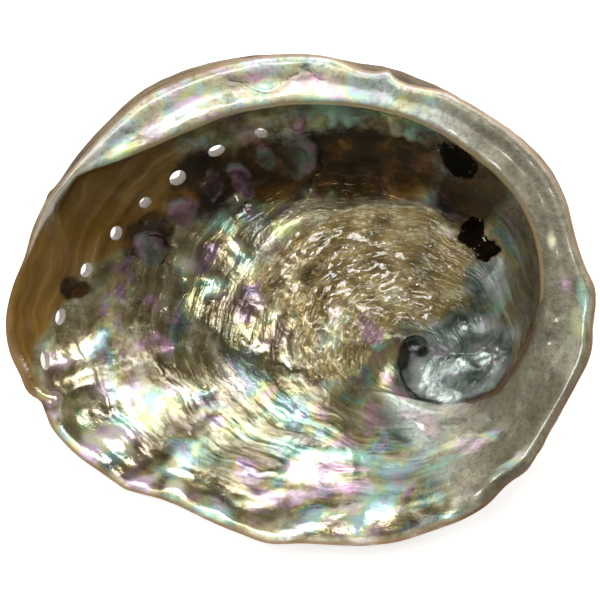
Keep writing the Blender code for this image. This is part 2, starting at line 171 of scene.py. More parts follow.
def lip_radius(directions, rim):
    """The shelf's lip where there is a shelf, and a line inside the rim elsewhere."""
    lip_at, lip = polar(LIP)
    open_at = np.arange(175.0, 251.0, 12.5)
    rim_at, rim_radius = polar(RIM)
    open_lip = OPEN_LIP * around(rim_at, rim_radius, open_at)
    course = around(np.concatenate([lip_at, open_at]), np.concatenate([lip, open_lip]), directions)
    return np.minimum(course, rim - 2.2)


def sections(directions):
    """Inner section in every direction, as distance and height, and what shaped it."""
    silhouette = around(*polar(RIM), directions)
    edge = silhouette - station_course(BACK_BULGE, directions)
    lip = lip_radius(directions, edge)
    top = station_course(RIM_HEIGHT, directions)
    shelf = np.clip(station_course(SHELF, directions), 0, 1)
    ledge = top - station_course(LIP_DROP, directions)
    steep = station_course(STEEPNESS, directions)
    taper = 1 - 0.9 * between(122, 150, 308, 324, directions)
    under = np.minimum(UNDERCUT, 0.5 * (edge - lip)) * taper
    wall = lip + under
    soffit = ledge - LIP_THICKNESS
    floor = np.full_like(edge, FLOOR_HEIGHT)
    lift = soffit - 3.5 - floor
    bowl_wall = ((0, 0), (0.25, 0.012), (0.47, 0.075), (0.65, 0.20), (0.79, 0.38), (0.90, 0.61),
                 (0.97, 0.82), (1, 1))
    shelf_side = [(away * wall, floor + climb * lift) for away, climb in bowl_wall] + [
        (wall - 0.3 * under, soffit - 0.8),
        (lip + 0.25 * under, soffit),
        (lip, ledge - 0.5 * LIP_THICKNESS),
        (lip + 0.7, ledge),
        (0.5 * (lip + edge), 0.55 * ledge + 0.45 * top),
        (edge - 1.0, top),
        (edge, top - 0.8),
    ]
    to_lip = (0, 0.25, 0.47, 0.65, 0.79, 0.88, 0.93, 0.955, 0.97, 0.985, 1)
    reach = [share * lip for share in to_lip]
    reach += [lip + share * (edge - lip) for share in (0.06, 0.5)] + [edge - 1.0, edge]
    open_side = [(away, floor + (top - floor) * (away / edge) ** steep) for away in reach]
    open_side[-1] = (edge, top - 0.8)
    points = np.array(shelf_side) * shelf + np.array(open_side) * (1 - shelf)
    return points, silhouette, top, shelf, steep


print("key points in a section:", len(sections(np.array([0.0, 90.0]))[0]))

# %% Outer section: the same wall seen from the back


def offset_profile(points, walls):
    """Each section point moved out through the wall, square to the section."""
    ahead = np.roll(points, -1, axis=0)
    behind = np.roll(points, 1, axis=0)
    ahead[-1] = points[-1]
    behind[0] = points[0]
    run = ahead - behind
    length = np.hypot(run[:, 0], run[:, 1])
    normal = np.stack([run[:, 1], -run[:, 0]], axis=1) / length[:, None]
    return points + normal * walls[:, None]


def outer_sections(inner, silhouette, top, shelf, steep):
    """Outer section points from the rim down to the middle of the back."""
    shelf_walls = np.array([3.6, 3.6, 3.4, 3.2, 3.2, 3.4, 3.8, 4.2, 3.6])
    open_walls = np.array([3.6, 3.6, 3.4, 3.2, 3.1, 3.0, 2.8, 2.7, 2.1])
    walls = shelf_walls[:, None] * shelf + open_walls[:, None] * (1 - shelf)
    back = offset_profile(np.concatenate([inner[:8], inner[12:13]]), walls)
    back[0, 0] = 0
    back[:, 0] = np.minimum(back[:, 0], silhouette - 1.0)
    edge, lip = inner[-1, 0], inner[10, 0]
    narrow = shelf * (1 - smooth_step(15, 24, edge - lip))
    below_shelf = np.array([silhouette - 0.3, top - 5.6])
    back[8] = below_shelf * narrow + back[8] * (1 - narrow)
    near = 0.962 * edge
    climb = (top - FLOOR_HEIGHT) * (near / edge) ** steep
    slope = np.array([near, FLOOR_HEIGHT + climb - RIM_WALL])
    collar = np.array([silhouette, top - 3.6])
    shoulder = collar * shelf + slope * (1 - shelf)
    blunt = np.array([0.6 * edge + 0.4 * silhouette - 0.1, inner[-1, 1] - 1.0])
    return np.concatenate([inner[-1:], blunt[None], shoulder[None], back[::-1]])


def along(points, steps):
    """Points on a smooth line through the section points, so many steps to each span."""
    chord = np.maximum(np.hypot(*(points[1:] - points[:-1]).transpose(1, 0, 2)), 1e-6)[:, None]
    rate = (points[1:] - points[:-1]) / chord
    tangent = np.empty_like(points)
    tangent[0] = rate[0]
    tangent[-1] = rate[-1]
    tangent[1:-1] = (rate[1:] * chord[:-1] + rate[:-1] * chord[1:]) / (chord[1:] + chord[:-1])
    rings = []
    for i in range(len(points) - 1):
        for step in range(steps[i]):
            u = step / steps[i]
            rise = u * u * (3 - 2 * u)
            bend = u * (1 - u) * chord[i]
            ends = points[i] * (1 - rise) + points[i + 1] * rise
            rings.append(ends + bend * ((1 - u) * tangent[i] - u * tangent[i + 1]))
    rings.append(points[-1])
    return np.array(rings)


print("outer section ready")

# %% [markdown]
# ## How it grew
#
# The animal adds to the rim all its life, and each old rim is a smaller copy of the present one,
# shrunk towards the spire. So age is the best ruler for every mark on the shell: it is 1 at the
# rim and 0 at the spire, and lines of one age are growth lines. The second ruler is the turn
# about the spire. Both are read from where a point lies, so relief and colour agree.

# %% Age and turn of every point
SPIRE = (35.0, -17.0)
SPIRAL_RATE = 0.52          # growth of the spiral's radius per radian


def growth(x, y):
    """Age, from 0 at the spire to 1 at the rim, and degrees of turn about the spire."""
    dx, dy = x - SPIRE[0], y - SPIRE[1]
    turn = np.degrees(np.arctan2(dy, dx)) % 360
    reach = around(*polar(RIM, SPIRE), turn)
    return np.hypot(dx, dy) / reach, turn


def spire_turns(x, y):
    """Turns along the growth spiral, which winds out from the spire, and distance from it."""
    dx, dy = x - SPIRE[0], y - SPIRE[1]
    away = np.maximum(np.hypot(dx, dy), 0.5)
    turn = np.arctan2(dy, dx)
    return (turn - np.log(away) / SPIRAL_RATE) / (2 * math.pi), away


print("age in the middle of the bowl:", growth(np.array([0.0]), np.array([0.0]))[0])

# %% Small tools for relief: spots, ovals, lines and an even grain


def blob(x, y, centre, spread):
    """1 at the centre, fading smoothly to nothing about two spreads away."""
    return np.exp(-((x - centre[0]) ** 2 + (y - centre[1]) ** 2) / spread**2)


def oval(x, y, centre, half, turn):
    """0 in the middle of a turned oval and 1 on its edge."""
    c, s = math.cos(math.radians(turn)), math.sin(math.radians(turn))
    u = (x - centre[0]) * c + (y - centre[1]) * s
    v = (y - centre[1]) * c - (x - centre[0]) * s
    return np.hypot(u / half[0], v / half[1])


def line_distance(x, y, stops):
    """Distance from a line that runs through the stops."""
    nearest = np.full(np.shape(x), 1e9)
    for (ax, ay), (bx, by) in zip(stops[:-1], stops[1:]):
        sx, sy = bx - ax, by - ay
        u = np.clip(((x - ax) * sx + (y - ay) * sy) / (sx * sx + sy * sy), 0, 1)
        nearest = np.minimum(nearest, np.hypot(x - ax - u * sx, y - ay - u * sy))
    return nearest


def line_mark(x, y, stops, width):
    """1 on the line through the stops, fading to nothing about two widths away."""
    return np.exp(-((line_distance(x, y, stops) / width) ** 2))


def grain(u, v, seed=0, wrap=4096):
    """Smooth chance values from -1 to 1, one to each unit; v repeats after wrap units."""
    iu, iv = np.floor(u), np.floor(v)
    fu, fv = smooth_step(0, 1, u - iu), smooth_step(0, 1, v - iv)

    def corner(i, j):
        value = np.sin((iu + i) * 127.1 + ((iv + j) % wrap) * 311.7 + seed * 74.7) * 43758.5453
        return 2 * (value - np.floor(value)) - 1

    low = corner(0, 0) * (1 - fu) + corner(1, 0) * fu
    high = corner(0, 1) * (1 - fu) + corner(1, 1) * fu
    return low * (1 - fv) + high * fv


def growth_grain(age, turn, lines, spokes, seed=0):
    """Grain drawn out along the growth lines: so many lines out to the rim, spokes round."""
    return grain(age * lines, turn / 360 * spokes, seed, spokes)


print("grain, a few values:", grain(np.array([0.2, 1.5, 7.7]), np.array([0.0, 2.5, 3.1])))

# %% [markdown]
# ## The ball that becomes the shell
#
# A UV sphere is a stack of rings, closed at both poles. The upper pole becomes the middle of
# the bowl's floor, the rings run out over the shelf and the rim, and the lower pole becomes the
# middle of the back. That way the form is closed from the start, which suits a thing that
# grew as one piece, and each point knows its ring and its direction.

# %% Rings in millimetres: the plain form, without any marks
SEGMENTS = 400
INSIDE_STEPS = (18, 17, 17, 15, 14, 10, 6, 4, 4, 4, 4, 10, 16, 4)
OUTSIDE_STEPS = (3, 3, 3, 6, 4, 4, 6, 10, 12, 12, 10)

directions = np.arange(SEGMENTS) * 360 / SEGMENTS
inner, silhouette, rim_top, shelf_side, steepness = sections(directions)
outer = outer_sections(inner, silhouette, rim_top, shelf_side, steepness)
section_rings = np.concatenate([along(inner, INSIDE_STEPS), along(outer, OUTSIDE_STEPS)[1:]])
inside_count = sum(INSIDE_STEPS) + 1
distance, height = section_rings[:, 0], section_rings[:, 1]
X = distance * np.cos(np.radians(directions))
Y = distance * np.sin(np.radians(directions))
direction = np.broadcast_to(directions, X.shape)
share = distance / silhouette
is_inside = (np.arange(len(X)) < inside_count)[:, None] & np.ones(X.shape, bool)
age, turn = growth(X, Y)
print("rings:", len(X), "of", SEGMENTS, "points")

# %% How far along its section each ring lies, in key points
step_counts = INSIDE_STEPS + OUTSIDE_STEPS
key = np.concatenate([np.arange(n) / n + i for i, n in enumerate(step_counts)] + [[25.0]])[:, None]
on_shelf = shelf_side * smooth_step(10.2, 11.0, key) * (key <= 14)
to_right = (directions + 180) % 360 - 180
under_right = between(-16, -4, 45, 62, to_right)
# The wall under the right part of the shelf, which gets painted shade
under_shelf_shade = shelf_side * under_right * smooth_step(3.5, 4.9, key) * (key < 10.5)
in_bowl = is_inside * (1 - shelf_side * smooth_step(7.0, 8.5, key))
print("points on the shelf:", int((on_shelf > 0.5).sum()))

# %% [markdown]
# ## What the animal left on it
#
# The spire's pocket, the big muscle's scar, soft folds where the rim grew in waves and the row
# of breathing holes are relief: the form is raised or lowered there. Sculpting with a brush
# would do it by eye. Here every mark has its place and size in millimetres, so that it can be
# measured and moved.

# %% Places of the main marks
# The scar, as two ovals that run together: x, y, half length, half width, turn
SCAR = ((20.0, 8.0, 34.0, 17.5, 4), (10.0, -6.0, 11.5, 18.0, -22))
RIM_FOLDS = 0.6
BACK_RIDGES = 0.55
POCKET = (39.5, -15.5)
POCKET_HALF = (15.6, 11.5, 7.0)
POCKET_LEVEL = 12.4
POCKET_RISE = 0.08          # climb of the pocket's middle per millimetre towards its open end
POCKET_TURN = 28
POCKET_WALL = 3.2
SPIRE_BLEND = 2.5
POCKET_DIP = 5.8
POCKET_DIP_AT = (46.5, -8.5)
POCKET_DIP_SPREAD = 11.5
# Swellings of the lip: x, y, height, spread
LIP_MOUNDS = ((23.0, -26.0, 3.4, 11.0), (22.0, -18.5, 6.5, 8.0))
# Breathing holes: x, y, width, length, turn of the long side
HOLES = (
    (-10.1, 42.6, 2.7, 3.6, -20), (-21.5, 38.1, 3.1, 4.4, 20), (-31.4, 31.2, 3.9, 4.5, 30),
    (-39.7, 24.9, 2.9, 3.3, 40), (-47.1, 17.1, 3.2, 3.7, 50), (-54.6, 7.7, 3.2, 3.9, 60),
    (-61.2, -4.2, 2.8, 4.3, 70), (-65.0, -15.3, 2.7, 5.0, 84),
)
# Older holes, grown shut: x, y, radius of the knob left inside
CLOSED_HOLES = (
    (-6.1, 44.3, 1.1), (-0.8, 45.6, 1.6), (7.8, 45.6, 1.6), (12.4, 45.0, 1.2),
    (16.7, 44.9, 1.3), (24.3, 43.6, 1.8), (28.3, 42.1, 1.5), (32.6, 40.4, 1.7),
    (-62.6, -25.6, 1.9),
)
HOLE_COLLAR = 1.1           # how far the back stands proud round a hole
HOLE_ROW = [hole[:2] for hole in reversed(CLOSED_HOLES[:-1])] + [hole[:2] for hole in HOLES]
print("open holes:", len(HOLES), "closed holes:", len(CLOSED_HOLES))

# %% Large relief, inside and on the back


def rim_folds(direction, share):
    """Soft folds square to the rim along the growing side, deepest at the rim."""
    growing = between(175, 200, 318, 335, direction)
    phase = np.radians(direction)
    swell = 0.65 + 0.35 * np.sin(5 * phase + 1.0)
    waves = np.sin(19 * phase + 0.6 + 1.3 * np.sin(3 * phase)) + 0.5 * np.sin(31 * phase + 2.1)
    return RIM_FOLDS * growing * smooth_step(0.62, 1.0, share) * swell * waves


def floor_dip(x, y):
    """How far the floor sinks on its way into the pocket."""
    return POCKET_DIP * blob(x, y, POCKET_DIP_AT, POCKET_DIP_SPREAD)


def pocket_level(x, y):
    """Height of the pocket's widest part, which climbs towards its open end."""
    lean = math.radians(POCKET_TURN)
    run = (x - POCKET[0]) * math.cos(lean) + (y - POCKET[1]) * math.sin(lean)
    return POCKET_LEVEL + POCKET_RISE * run


def under_pocket(x, y, height):
    """The back pushed down where the pocket needs a wall under it: the low spire."""
    half = [value + POCKET_WALL for value in POCKET_HALF]
    within = oval(x, y, POCKET, half[:2], POCKET_TURN)
    low = pocket_level(x, y) - half[2] * np.sqrt(np.maximum(1 - within**2, 0))
    gap = np.clip(0.5 + 0.5 * (height - low) / SPIRE_BLEND, 0, 1)
    blended = height * (1 - gap) + low * gap - SPIRE_BLEND * gap * (1 - gap)
    return np.where(within < 1, blended, height)


def back_relief(x, y, share):
    """Lowering of the back: the spire's coils, the hole row and the growth ridges."""
    turns, away = spire_turns(x, y)
    coil = 0.9 * np.cos(2 * math.pi * turns + 2.4) * between(1.5, 7, 20, 34, away)
    middle = between(0.1, 0.42, 0.93, 1.0, share)
    lines = np.sin(0.62 * away + 1.5 * turns) + 0.5 * np.sin(1.07 * away + 5 * turns)
    cords = 0.35 * np.sin(2 * math.pi * 9 * turns)
    row = line_mark(x, y, HOLE_ROW, 3.4)
    spots = [(hole[0] * 1.02, hole[1] * 1.02) for hole in HOLES]
    collars = sum(HOLE_COLLAR * blob(x, y, spot, 3.0) for spot in spots)
    return coil + row + collars + middle * (BACK_RIDGES * lines + cords)


off_centre = (X - FLOOR_MIDDLE[0]) ** 2 + (Y - FLOOR_MIDDLE[1]) ** 2
middle = FLOOR_HEIGHT + FLOOR_CURVE * off_centre - np.where(is_inside, 0, FLOOR_WALL)
off_middle = smooth_step(0.12, 0.48, share)
Z = height * off_middle + middle * (1 - off_middle) + rim_folds(direction, share)
mounds = sum(lift * blob(X, Y, (mx, my), spread) for mx, my, lift, spread in LIP_MOUNDS)
Z_inside = Z + mounds - floor_dip(X, Y)
Z_back = under_pocket(X, Y, Z - 0.9 * floor_dip(X, Y))
Z_back = Z_back - smooth_step(0.5, 6.0, Z_back) * back_relief(X, Y, share)
Z = np.where(is_inside, Z_inside, Z_back)
print("heights run from", Z.min(), "to", Z.max())

# %% [markdown]
# ## Fine relief
#
# Close up, the bowl is lumpy and glossy: ripples follow the growth lines, the muscle's scar is
# rough, blisters of nacre lie over the dark band below the holes, and small pits are spread
# about. A bump texture could fake all of it, but real height also bends the reflections and
# the outline. So what is wider than a millimetre is modelled, and only finer marks are
# left to bump. Long crests and troughs lie along the growth lines: the same ovals raise and
# lower the surface here, and later the paint puts pale pearly tints with a painted highlight on
# the crests and painted shade in the troughs.

# %% Swells and hollows of the nacre: x, y, half length, half width, turn
# Crests are raised here and painted pale later: pearly tints that also stand in as painted
# highlights
HIGHLIT_CRESTS = (
    (-52.1, -36.8, 4.6, 4.8, 0), (-45.8, -35.5, 3.8, 4.4, 0), (-40.2, -30.5, 6.0, 3.8, 10),
    (-46.5, -23.0, 7.0, 2.6, -10), (-33.1, -24.7, 6.0, 3.6, 10), (-30.6, -41.9, 3.2, 4.2, 0),
    (-39.5, -45.4, 6.8, 1.1, 24), (-31.9, -48.3, 2.6, 2.4, 0), (-21.8, -54.0, 6.0, 2.4, -20),
    (-9.0, -44.5, 8.0, 1.0, -4), (-1.2, -42.6, 3.6, 3.2, 0), (-5.8, -49.5, 8.2, 1.2, 3),
    (14.9, -56.6, 4.0, 5.0, 0), (8.6, -53.4, 5.6, 1.1, 12), (-61.7, -28.5, 2.0, 1.6, -60),
    (-60.5, -15.8, 2.4, 1.2, 10), (-4.3, -29.3, 4.6, 2.6, -25), (12.4, -39.8, 13.0, 1.7, -5),
    (21.3, -47.6, 9.5, 1.8, 4), (37.5, -36.5, 9.0, 1.2, 22), (46.0, -36.0, 6.0, 1.0, 30),
    (36.7, 17.8, 3.0, 1.3, -20), (8.6, -7.7, 3.0, 6.6, -20), (-15.4, 13.0, 2.6, 4.2, 30),
    (-29.3, 9.5, 3.6, 2.6, -30), (-21.8, 2.9, 2.4, 3.6, 25), (51.6, -42.6, 7.6, 0.9, 42),
    (31.4, -51.5, 7.6, 0.9, 20), (-28.1, 50.5, 9.6, 2.5, 30), (7.3, 52.5, 11.4, 3.5, -5),
    (-45.8, 38.3, 3.5, 2.3, 40), (31.9, 50.7, 2.5, 1.8, 0), (63.0, 15.1, 2.3, 1.0, -70),
    (5.5, -44.5, 7.0, 2.2, -5), (24.5, -43.0, 7.5, 2.0, 6), (20.0, -53.0, 6.5, 2.6, 10),
    (4.0, -55.8, 5.0, 2.2, 6), (-52.0, -12.0, 5.0, 2.2, 40),
)
# Troughs are lowered here and darkened later with painted shade
SHADED_TROUGHS = (
    (-39.0, -38.8, 6.4, 3.4, 42), (-28.0, -31.0, 7.6, 3.4, 35), (-47.5, -42.4, 5.0, 2.4, -25),
    (-19.6, -42.6, 4.0, 5.0, 0), (-9.0, -54.2, 5.0, 3.0, 0), (-14.0, -15.0, 9.0, 4.0, -38),
    (30.4, -55.0, 5.6, 2.6, 15), (-58.2, -33.6, 2.8, 5.2, 45), (-0.3, -18.3, 8.6, 1.5, -25),
    (-16.7, -11.5, 9.1, 1.5, -35), (-2.8, -33.8, 8.6, 1.4, -22), (25.0, -35.5, 7.6, 1.0, -6),
    (-13.0, -38.5, 8.0, 2.2, -25), (-18.0, -4.5, 4.5, 5.0, 0), (48.3, -45.7, 8.6, 1.8, 35),
    (2.8, 7.2, 2.3, 1.8, 0), (39.0, -30.5, 5.1, 1.3, 10), (-49.8, -28.7, 4.6, 1.3, -10),
    (-12.9, -0.1, 2.0, 2.5, 0), (-22.0, -48.8, 6.4, 1.8, -14), (-34.0, -17.0, 8.0, 1.6, -40),
    (10.0, -32.0, 6.0, 1.4, -8),
)
print("crests:", len(HIGHLIT_CRESTS), "troughs:", len(SHADED_TROUGHS))

# %% Blisters, brown film with painted shade, and stains: x, y, half length, half width, turn
BLISTERS = (
    (-0.8, 37.2, 5.6, 7.4, 0), (-22.6, 29.4, 2.9, 5.0, 0), (-15.2, 30.6, 3.6, 6.4, 20),
    (-30.0, 22.6, 4.4, 5.0, 30), (-38.4, 13.2, 4.8, 6.0, 10), (-9.0, 37.0, 3.4, 4.0, 0),
)
# The dark band below the holes: partly brown horny film, partly painted shade where the shelf
# overhangs the wall
BROWN_FILM_AND_SHADE = (
    (16.2, 34.5, 23.0, 10.5, -5), (-7.8, 33.0, 13.0, 9.5, 0), (-24.3, 30.0, 12.0, 9.0, 38),
    (-39.0, 16.5, 8.0, 6.0, 45), (43.0, 26.5, 10.0, 10.0, -45), (-57.2, 2.9, 4.6, 3.3, -20),
)
STAINS = ((40.0, 35.3, 6.3, 3.6, -38), (44.3, 16.6, 3.6, 4.6, 20), (47.6, 12.6, 3.2, 2.2, 20))
print("blisters:", len(BLISTERS), "stains:", len(STAINS))

# %% Pits as x, y and radius; cracks and the seam on the shelf as lines
PITS = (
    (-43.3, 42.1, 1.1), (-40.7, 40.4, 0.9), (-42.5, 39.8, 0.7), (-39.2, 40.1, 0.5),
    (-18.0, 51.0, 0.9), (64.8, -3.9, 0.9), (63.5, -10.2, 0.9), (63.0, -19.9, 0.7),
    (-16.7, 26.9, 1.4), (3.0, 7.2, 2.2), (-48.1, -11.3, 1.4), (-40.5, -15.1, 0.7),
    (-28.1, -34.0, 1.1), (-34.9, -19.9, 0.7), (-43.0, -5.9, 0.9), (-35.4, -2.2, 0.9),
    (-24.8, -22.9, 0.8), (38.5, -17.6, 1.4), (32.6, -41.1, 1.1), (48.8, -30.5, 0.9),
    (18.5, -25.9, 1.2), (-23.5, -0.1, 0.8), (-30.4, 5.9, 0.9),
)
SHELF_SEAM = (
    (6.1, 55.3), (2.8, 58.3), (-0.3, 58.8), (-2.8, 56.3), (-5.3, 53.8), (-8.6, 52.5),
    (-12.9, 53.8), (-16.7, 55.0), (-18.7, 55.8),
)
CRACKS = (
    ((-42.0, 20.4), (-40.2, 19.4), (-38.2, 17.1), (-36.4, 16.1), (-34.7, 15.8), (-33.1, 13.3),
     (-35.7, 9.5)),
    ((-60.5, 6.2), (-59.5, 3.4), (-57.9, 2.9), (-56.4, 1.4)),
    ((0.5, 42.9), (3.5, 42.9), (5.3, 37.8), (5.3, 34.0), (2.8, 30.2), (1.8, 26.4)),
    ((-27.3, 40.9), (-27.6, 37.8), (-28.3, 35.3)),
    ((-12.9, 26.2), (-14.4, 23.9), (-16.2, 22.1)),
)
print("pits:", len(PITS), "cracks:", len(CRACKS))

# %% Flashes of colour: x, y, half length, half width, turn
PINK_FLASHES = (
    (18.7, -28.7, 3.0, 3.5, 0), (-11.6, 57.1, 3.3, 1.5, 20), (-0.3, 43.4, 2.3, 4.0, 0),
    (14.4, -48.7, 6.1, 1.5, -5), (-2.5, -42.4, 2.3, 1.8, 30), (-38.7, 12.8, 2.3, 3.5, 20),
    (-15.9, 30.7, 2.0, 3.0, 30), (-22.3, 28.7, 1.8, 2.5, 0), (-27.6, 23.9, 2.0, 3.0, 0),
    (-38.2, -0.1, 2.3, 1.8, -50), (-34.9, -11.5, 4.0, 1.5, -40), (4.3, 56.8, 3.0, 1.8, 0),
    (15.4, 57.1, 1.8, 1.3, 0), (25.0, -24.2, 3.5, 1.5, -35), (66.8, 3.7, 1.8, 2.5, 10),
    (11.1, -43.1, 6.6, 1.0, -8), (17.5, -7.7, 2.3, 4.0, 20), (-26.8, 51.7, 2.0, 1.3, 20),
    (-40.7, -11.5, 3.0, 1.5, 30), (18.6, -9.2, 1.6, 1.0, 30), (22.5, -20.2, 2.4, 1.2, -30),
)
MINT_FLASHES = (
    (-44.3, -31.5, 5.1, 2.3, -35), (-4.8, -28.5, 4.6, 2.3, -25), (-2.8, -37.6, 3.5, 2.3, -20),
    (-9.1, 54.0, 3.5, 2.0, 20), (6.1, 49.5, 5.6, 3.0, -5), (11.9, 45.9, 3.0, 2.0, 0),
    (-26.6, -38.1, 2.5, 2.3, 30), (18.0, -50.2, 3.5, 2.5, 0), (-18.5, 18.8, 2.5, 1.5, 30),
    (35.2, -41.9, 6.1, 1.3, 22), (-35.7, -24.2, 4.6, 2.0, -20), (71.3, -0.1, 1.8, 5.6, 5),
    (11.1, -39.3, 7.6, 2.0, -8), (-24.3, 2.4, 2.0, 2.0, 0), (28.1, 42.6, 3.0, 1.5, -20),
    (50.3, -0.1, 2.5, 5.1, 0), (-43.3, 18.8, 1.3, 1.0, 0), (20.6, -11.6, 1.7, 1.1, 20),
    (-20.5, 20.5, 3.5, 2.0, 35),
)
LIME_FLASHES = (
    (-40.2, -30.7, 4.0, 2.0, -30), (-29.1, 52.2, 4.0, 1.3, 35), (-26.6, -38.6, 1.8, 2.0, 0),
    (-4.0, 18.8, 3.5, 2.0, 5), (-43.3, 37.8, 2.5, 1.5, 40), (26.3, 50.5, 2.5, 1.5, -20),
    (-9.9, -21.9, 1.5, 1.3, 0), (48.8, 24.9, 4.0, 4.6, -40), (-33.1, -26.2, 3.5, 1.8, -20),
    (-14.7, -33.0, 4.6, 1.3, -12), (4.8, 45.4, 2.5, 1.3, 0), (-7.8, 25.2, 3.5, 2.0, 0),
    (69.3, -6.5, 2.0, 5.1, 5), (21.8, -9.4, 1.3, 0.9, 0), (13.7, -18.3, 3.0, 1.5, -25),
    (-48.3, -0.1, 2.0, 1.5, 0),
)
print("flashes:", len(PINK_FLASHES), len(MINT_FLASHES), len(LIME_FLASHES))

# %% Looking up marks for the whole ring grid


def even_grain(size, seed):
    """Grain with spots of one size in millimetres, over the whole ring grid."""
    return grain(X / size, Y / size, seed)


def grain_layers(layers):
    """A sum of even grains: height in mm, size in mm and seed of each layer."""
    return sum(rise * even_grain(size, seed) for rise, size, seed in layers)


def growth_layers(age, turn, layers):
    """A sum of growth grains: height in mm, lines, spokes and seed of each layer."""
    return sum(rise * growth_grain(age, turn, *layer) for rise, *layer in layers)


# Marks are looked up at places that are moved a little, which makes their edges uneven
wobble_x = X + 0.9 * even_grain(2.6, 3) + 0.4 * even_grain(1.1, 4)
wobble_y = Y + 0.9 * even_grain(2.6, 5) + 0.4 * even_grain(1.1, 6)


def each_oval(spots):
    """How far every point lies from the middle of each oval, where 1 is its edge."""
    return [oval(wobble_x, wobble_y, spot[:2], spot[2:4], spot[4]) for spot in spots]


def swells(spots, most):
    """Soft sum of ovals, 1 in the middle of each, and never more than the most."""
    return np.clip(sum(np.exp(-(reach**2)) for reach in each_oval(spots)), 0, most)


def nearest_oval(spots):
    """Below 1 inside any of the ovals."""
    return np.min(each_oval(spots), axis=0)


def inside_ovals(spots, full, none):
    """1 well inside any of the ovals, and 0 well outside them all."""
    return 1 - smooth_step(full, none, nearest_oval(spots))


print("the grid is moved by up to", np.abs(wobble_x - X).max(), "mm")

# %% Fields: one value for every point, used for height now and for colour later
NO_LINE = 9.0               # a distance at which a crack or the seam no longer shows
FLANK_DIRECTIONS = (120, 136, 200, 211)     # where it starts, is full, fades and has gone
# Crests get a painted highlight later, and troughs get painted shade
crests = swells(HIGHLIT_CRESTS, 1.3) * is_inside
troughs = swells(SHADED_TROUGHS, 1.3) * is_inside
scar = inside_ovals(SCAR, 0.72, 1.04) * in_bowl
blister = inside_ovals(BLISTERS, 0.45, 1.1) * in_bowl
# This field carries the brown film and the painted shade under the shelf
film = inside_ovals(BROWN_FILM_AND_SHADE, 0.5, 1.25) * in_bowl
crack = np.min([line_distance(wobble_x, wobble_y, line) for line in CRACKS], axis=0)
crack = np.where(in_bowl > 0.5, crack, NO_LINE)
seam = np.where(on_shelf > 0.5, line_distance(wobble_x, wobble_y, SHELF_SEAM), NO_LINE)
row_at, row_reach = polar(HOLE_ROW)
row_radius = around(np.append(row_at, [200, 230, 260, 290, 320, 350]),
                    np.append(row_reach, [68, 66, 60, 50, 50, 50]), directions)
flank_side = between(*FLANK_DIRECTIONS, directions)
flank_inner = row_radius - 9.0 + 9.5 * smooth_step(155, 184, directions)
flank = smooth_step(-1.0, 4.5, distance - flank_inner + 1.5 * even_grain(6.0, 15))
flank = flank * flank_side * in_bowl
print("points on the flank:", int((flank > 0.5).sum()), "on the scar:", int((scar > 0.5).sum()))

# %% Heights and depths of the fine relief, in millimetres
CREST_RISE = 0.5
TROUGH_DEPTH = 0.45
BLISTER_RISE = 0.7
CRACK_DEPTH = 0.45
CRACK_WIDTH = 0.5
SEAM_DEPTH = 0.25
SEAM_WIDTH = 0.45
# The same of knobs and pits, as shares of their own radius
KNOB_RISE = 0.9
KNOB_REACH = 1.35
PIT_DEPTH = 0.8
PIT_SPREAD = 0.75
# Layers of grain along the growth lines: height, lines, spokes, seed
RIPPLES = ((0.17, 44, 22, 1), (0.12, 96, 48, 2))
SCAR_RIDGES = ((0.24, 62, 60, 9),)
BACK_BANDS = ((0.42, 34, 10, 21), (0.2, 95, 24, 22))
# Layers of even grain: height, size, seed
LUMPS = ((0.55, 9.0, 7), (0.3, 4.5, 8))
SCAR_GRAIN = ((0.16, 1.5, 10),)
SHELF_GRAIN = ((0.16, 8.0, 11), (0.05, 2.2, 12))
CRUST_GRAIN = ((0.16, 1.7, 24), (0.2, 4.0, 25))
LUMPY_DIRECTIONS = (185, 215, 300, 340)     # where lumps start, are full, fade and have gone
print("a blister rises", BLISTER_RISE, "mm and a crack is", CRACK_DEPTH, "mm deep")

# %% Fine relief inside, square to the surface
low_side = between(*LUMPY_DIRECTIONS, direction)
calm = (1 - 0.8 * flank) * (1 - smooth_step(0.9, 0.99, share))
uneven = age + 0.014 * even_grain(9.0, 13) + 0.006 * even_grain(3.5, 14)
ripples = growth_layers(uneven, turn, RIPPLES)
ripples = ripples * smooth_step(0.2, 0.42, age) * (0.35 + 0.65 * smooth_step(-5, -25, Y))
lumps = grain_layers(LUMPS) * low_side * smooth_step(0.45, 0.75, share)
rough = growth_layers(uneven, turn, SCAR_RIDGES) + grain_layers(SCAR_GRAIN)
bowl_relief = calm * in_bowl * (ripples + lumps) + scar * rough
bowl_relief += in_bowl * (CREST_RISE * crests - TROUGH_DEPTH * troughs)
bowl_relief += BLISTER_RISE * blister - CRACK_DEPTH * np.exp(-((crack / CRACK_WIDTH) ** 2))
knobs = np.zeros_like(X)
for kx, ky, radius in CLOSED_HOLES:
    dome = np.clip(1 - ((X - kx) ** 2 + (Y - ky) ** 2) / (KNOB_REACH * radius) ** 2, 0, 1)
    knobs = np.maximum(knobs, KNOB_RISE * radius * np.sqrt(dome))
pits = sum(PIT_DEPTH * radius * blob(X, Y, (px, py), PIT_SPREAD * radius)
           for px, py, radius in PITS)
shelf_relief = grain_layers(SHELF_GRAIN) - SEAM_DEPTH * np.exp(-((seam / SEAM_WIDTH) ** 2))
edge_fade = np.clip((14 - key) / 0.5, 0, 1)
inside_relief = bowl_relief + knobs * in_bowl + on_shelf * shelf_relief * edge_fade
inside_relief = inside_relief - pits * np.clip(in_bowl + on_shelf, 0, 1)
print("inside relief from", inside_relief.min(), "to", inside_relief.max())

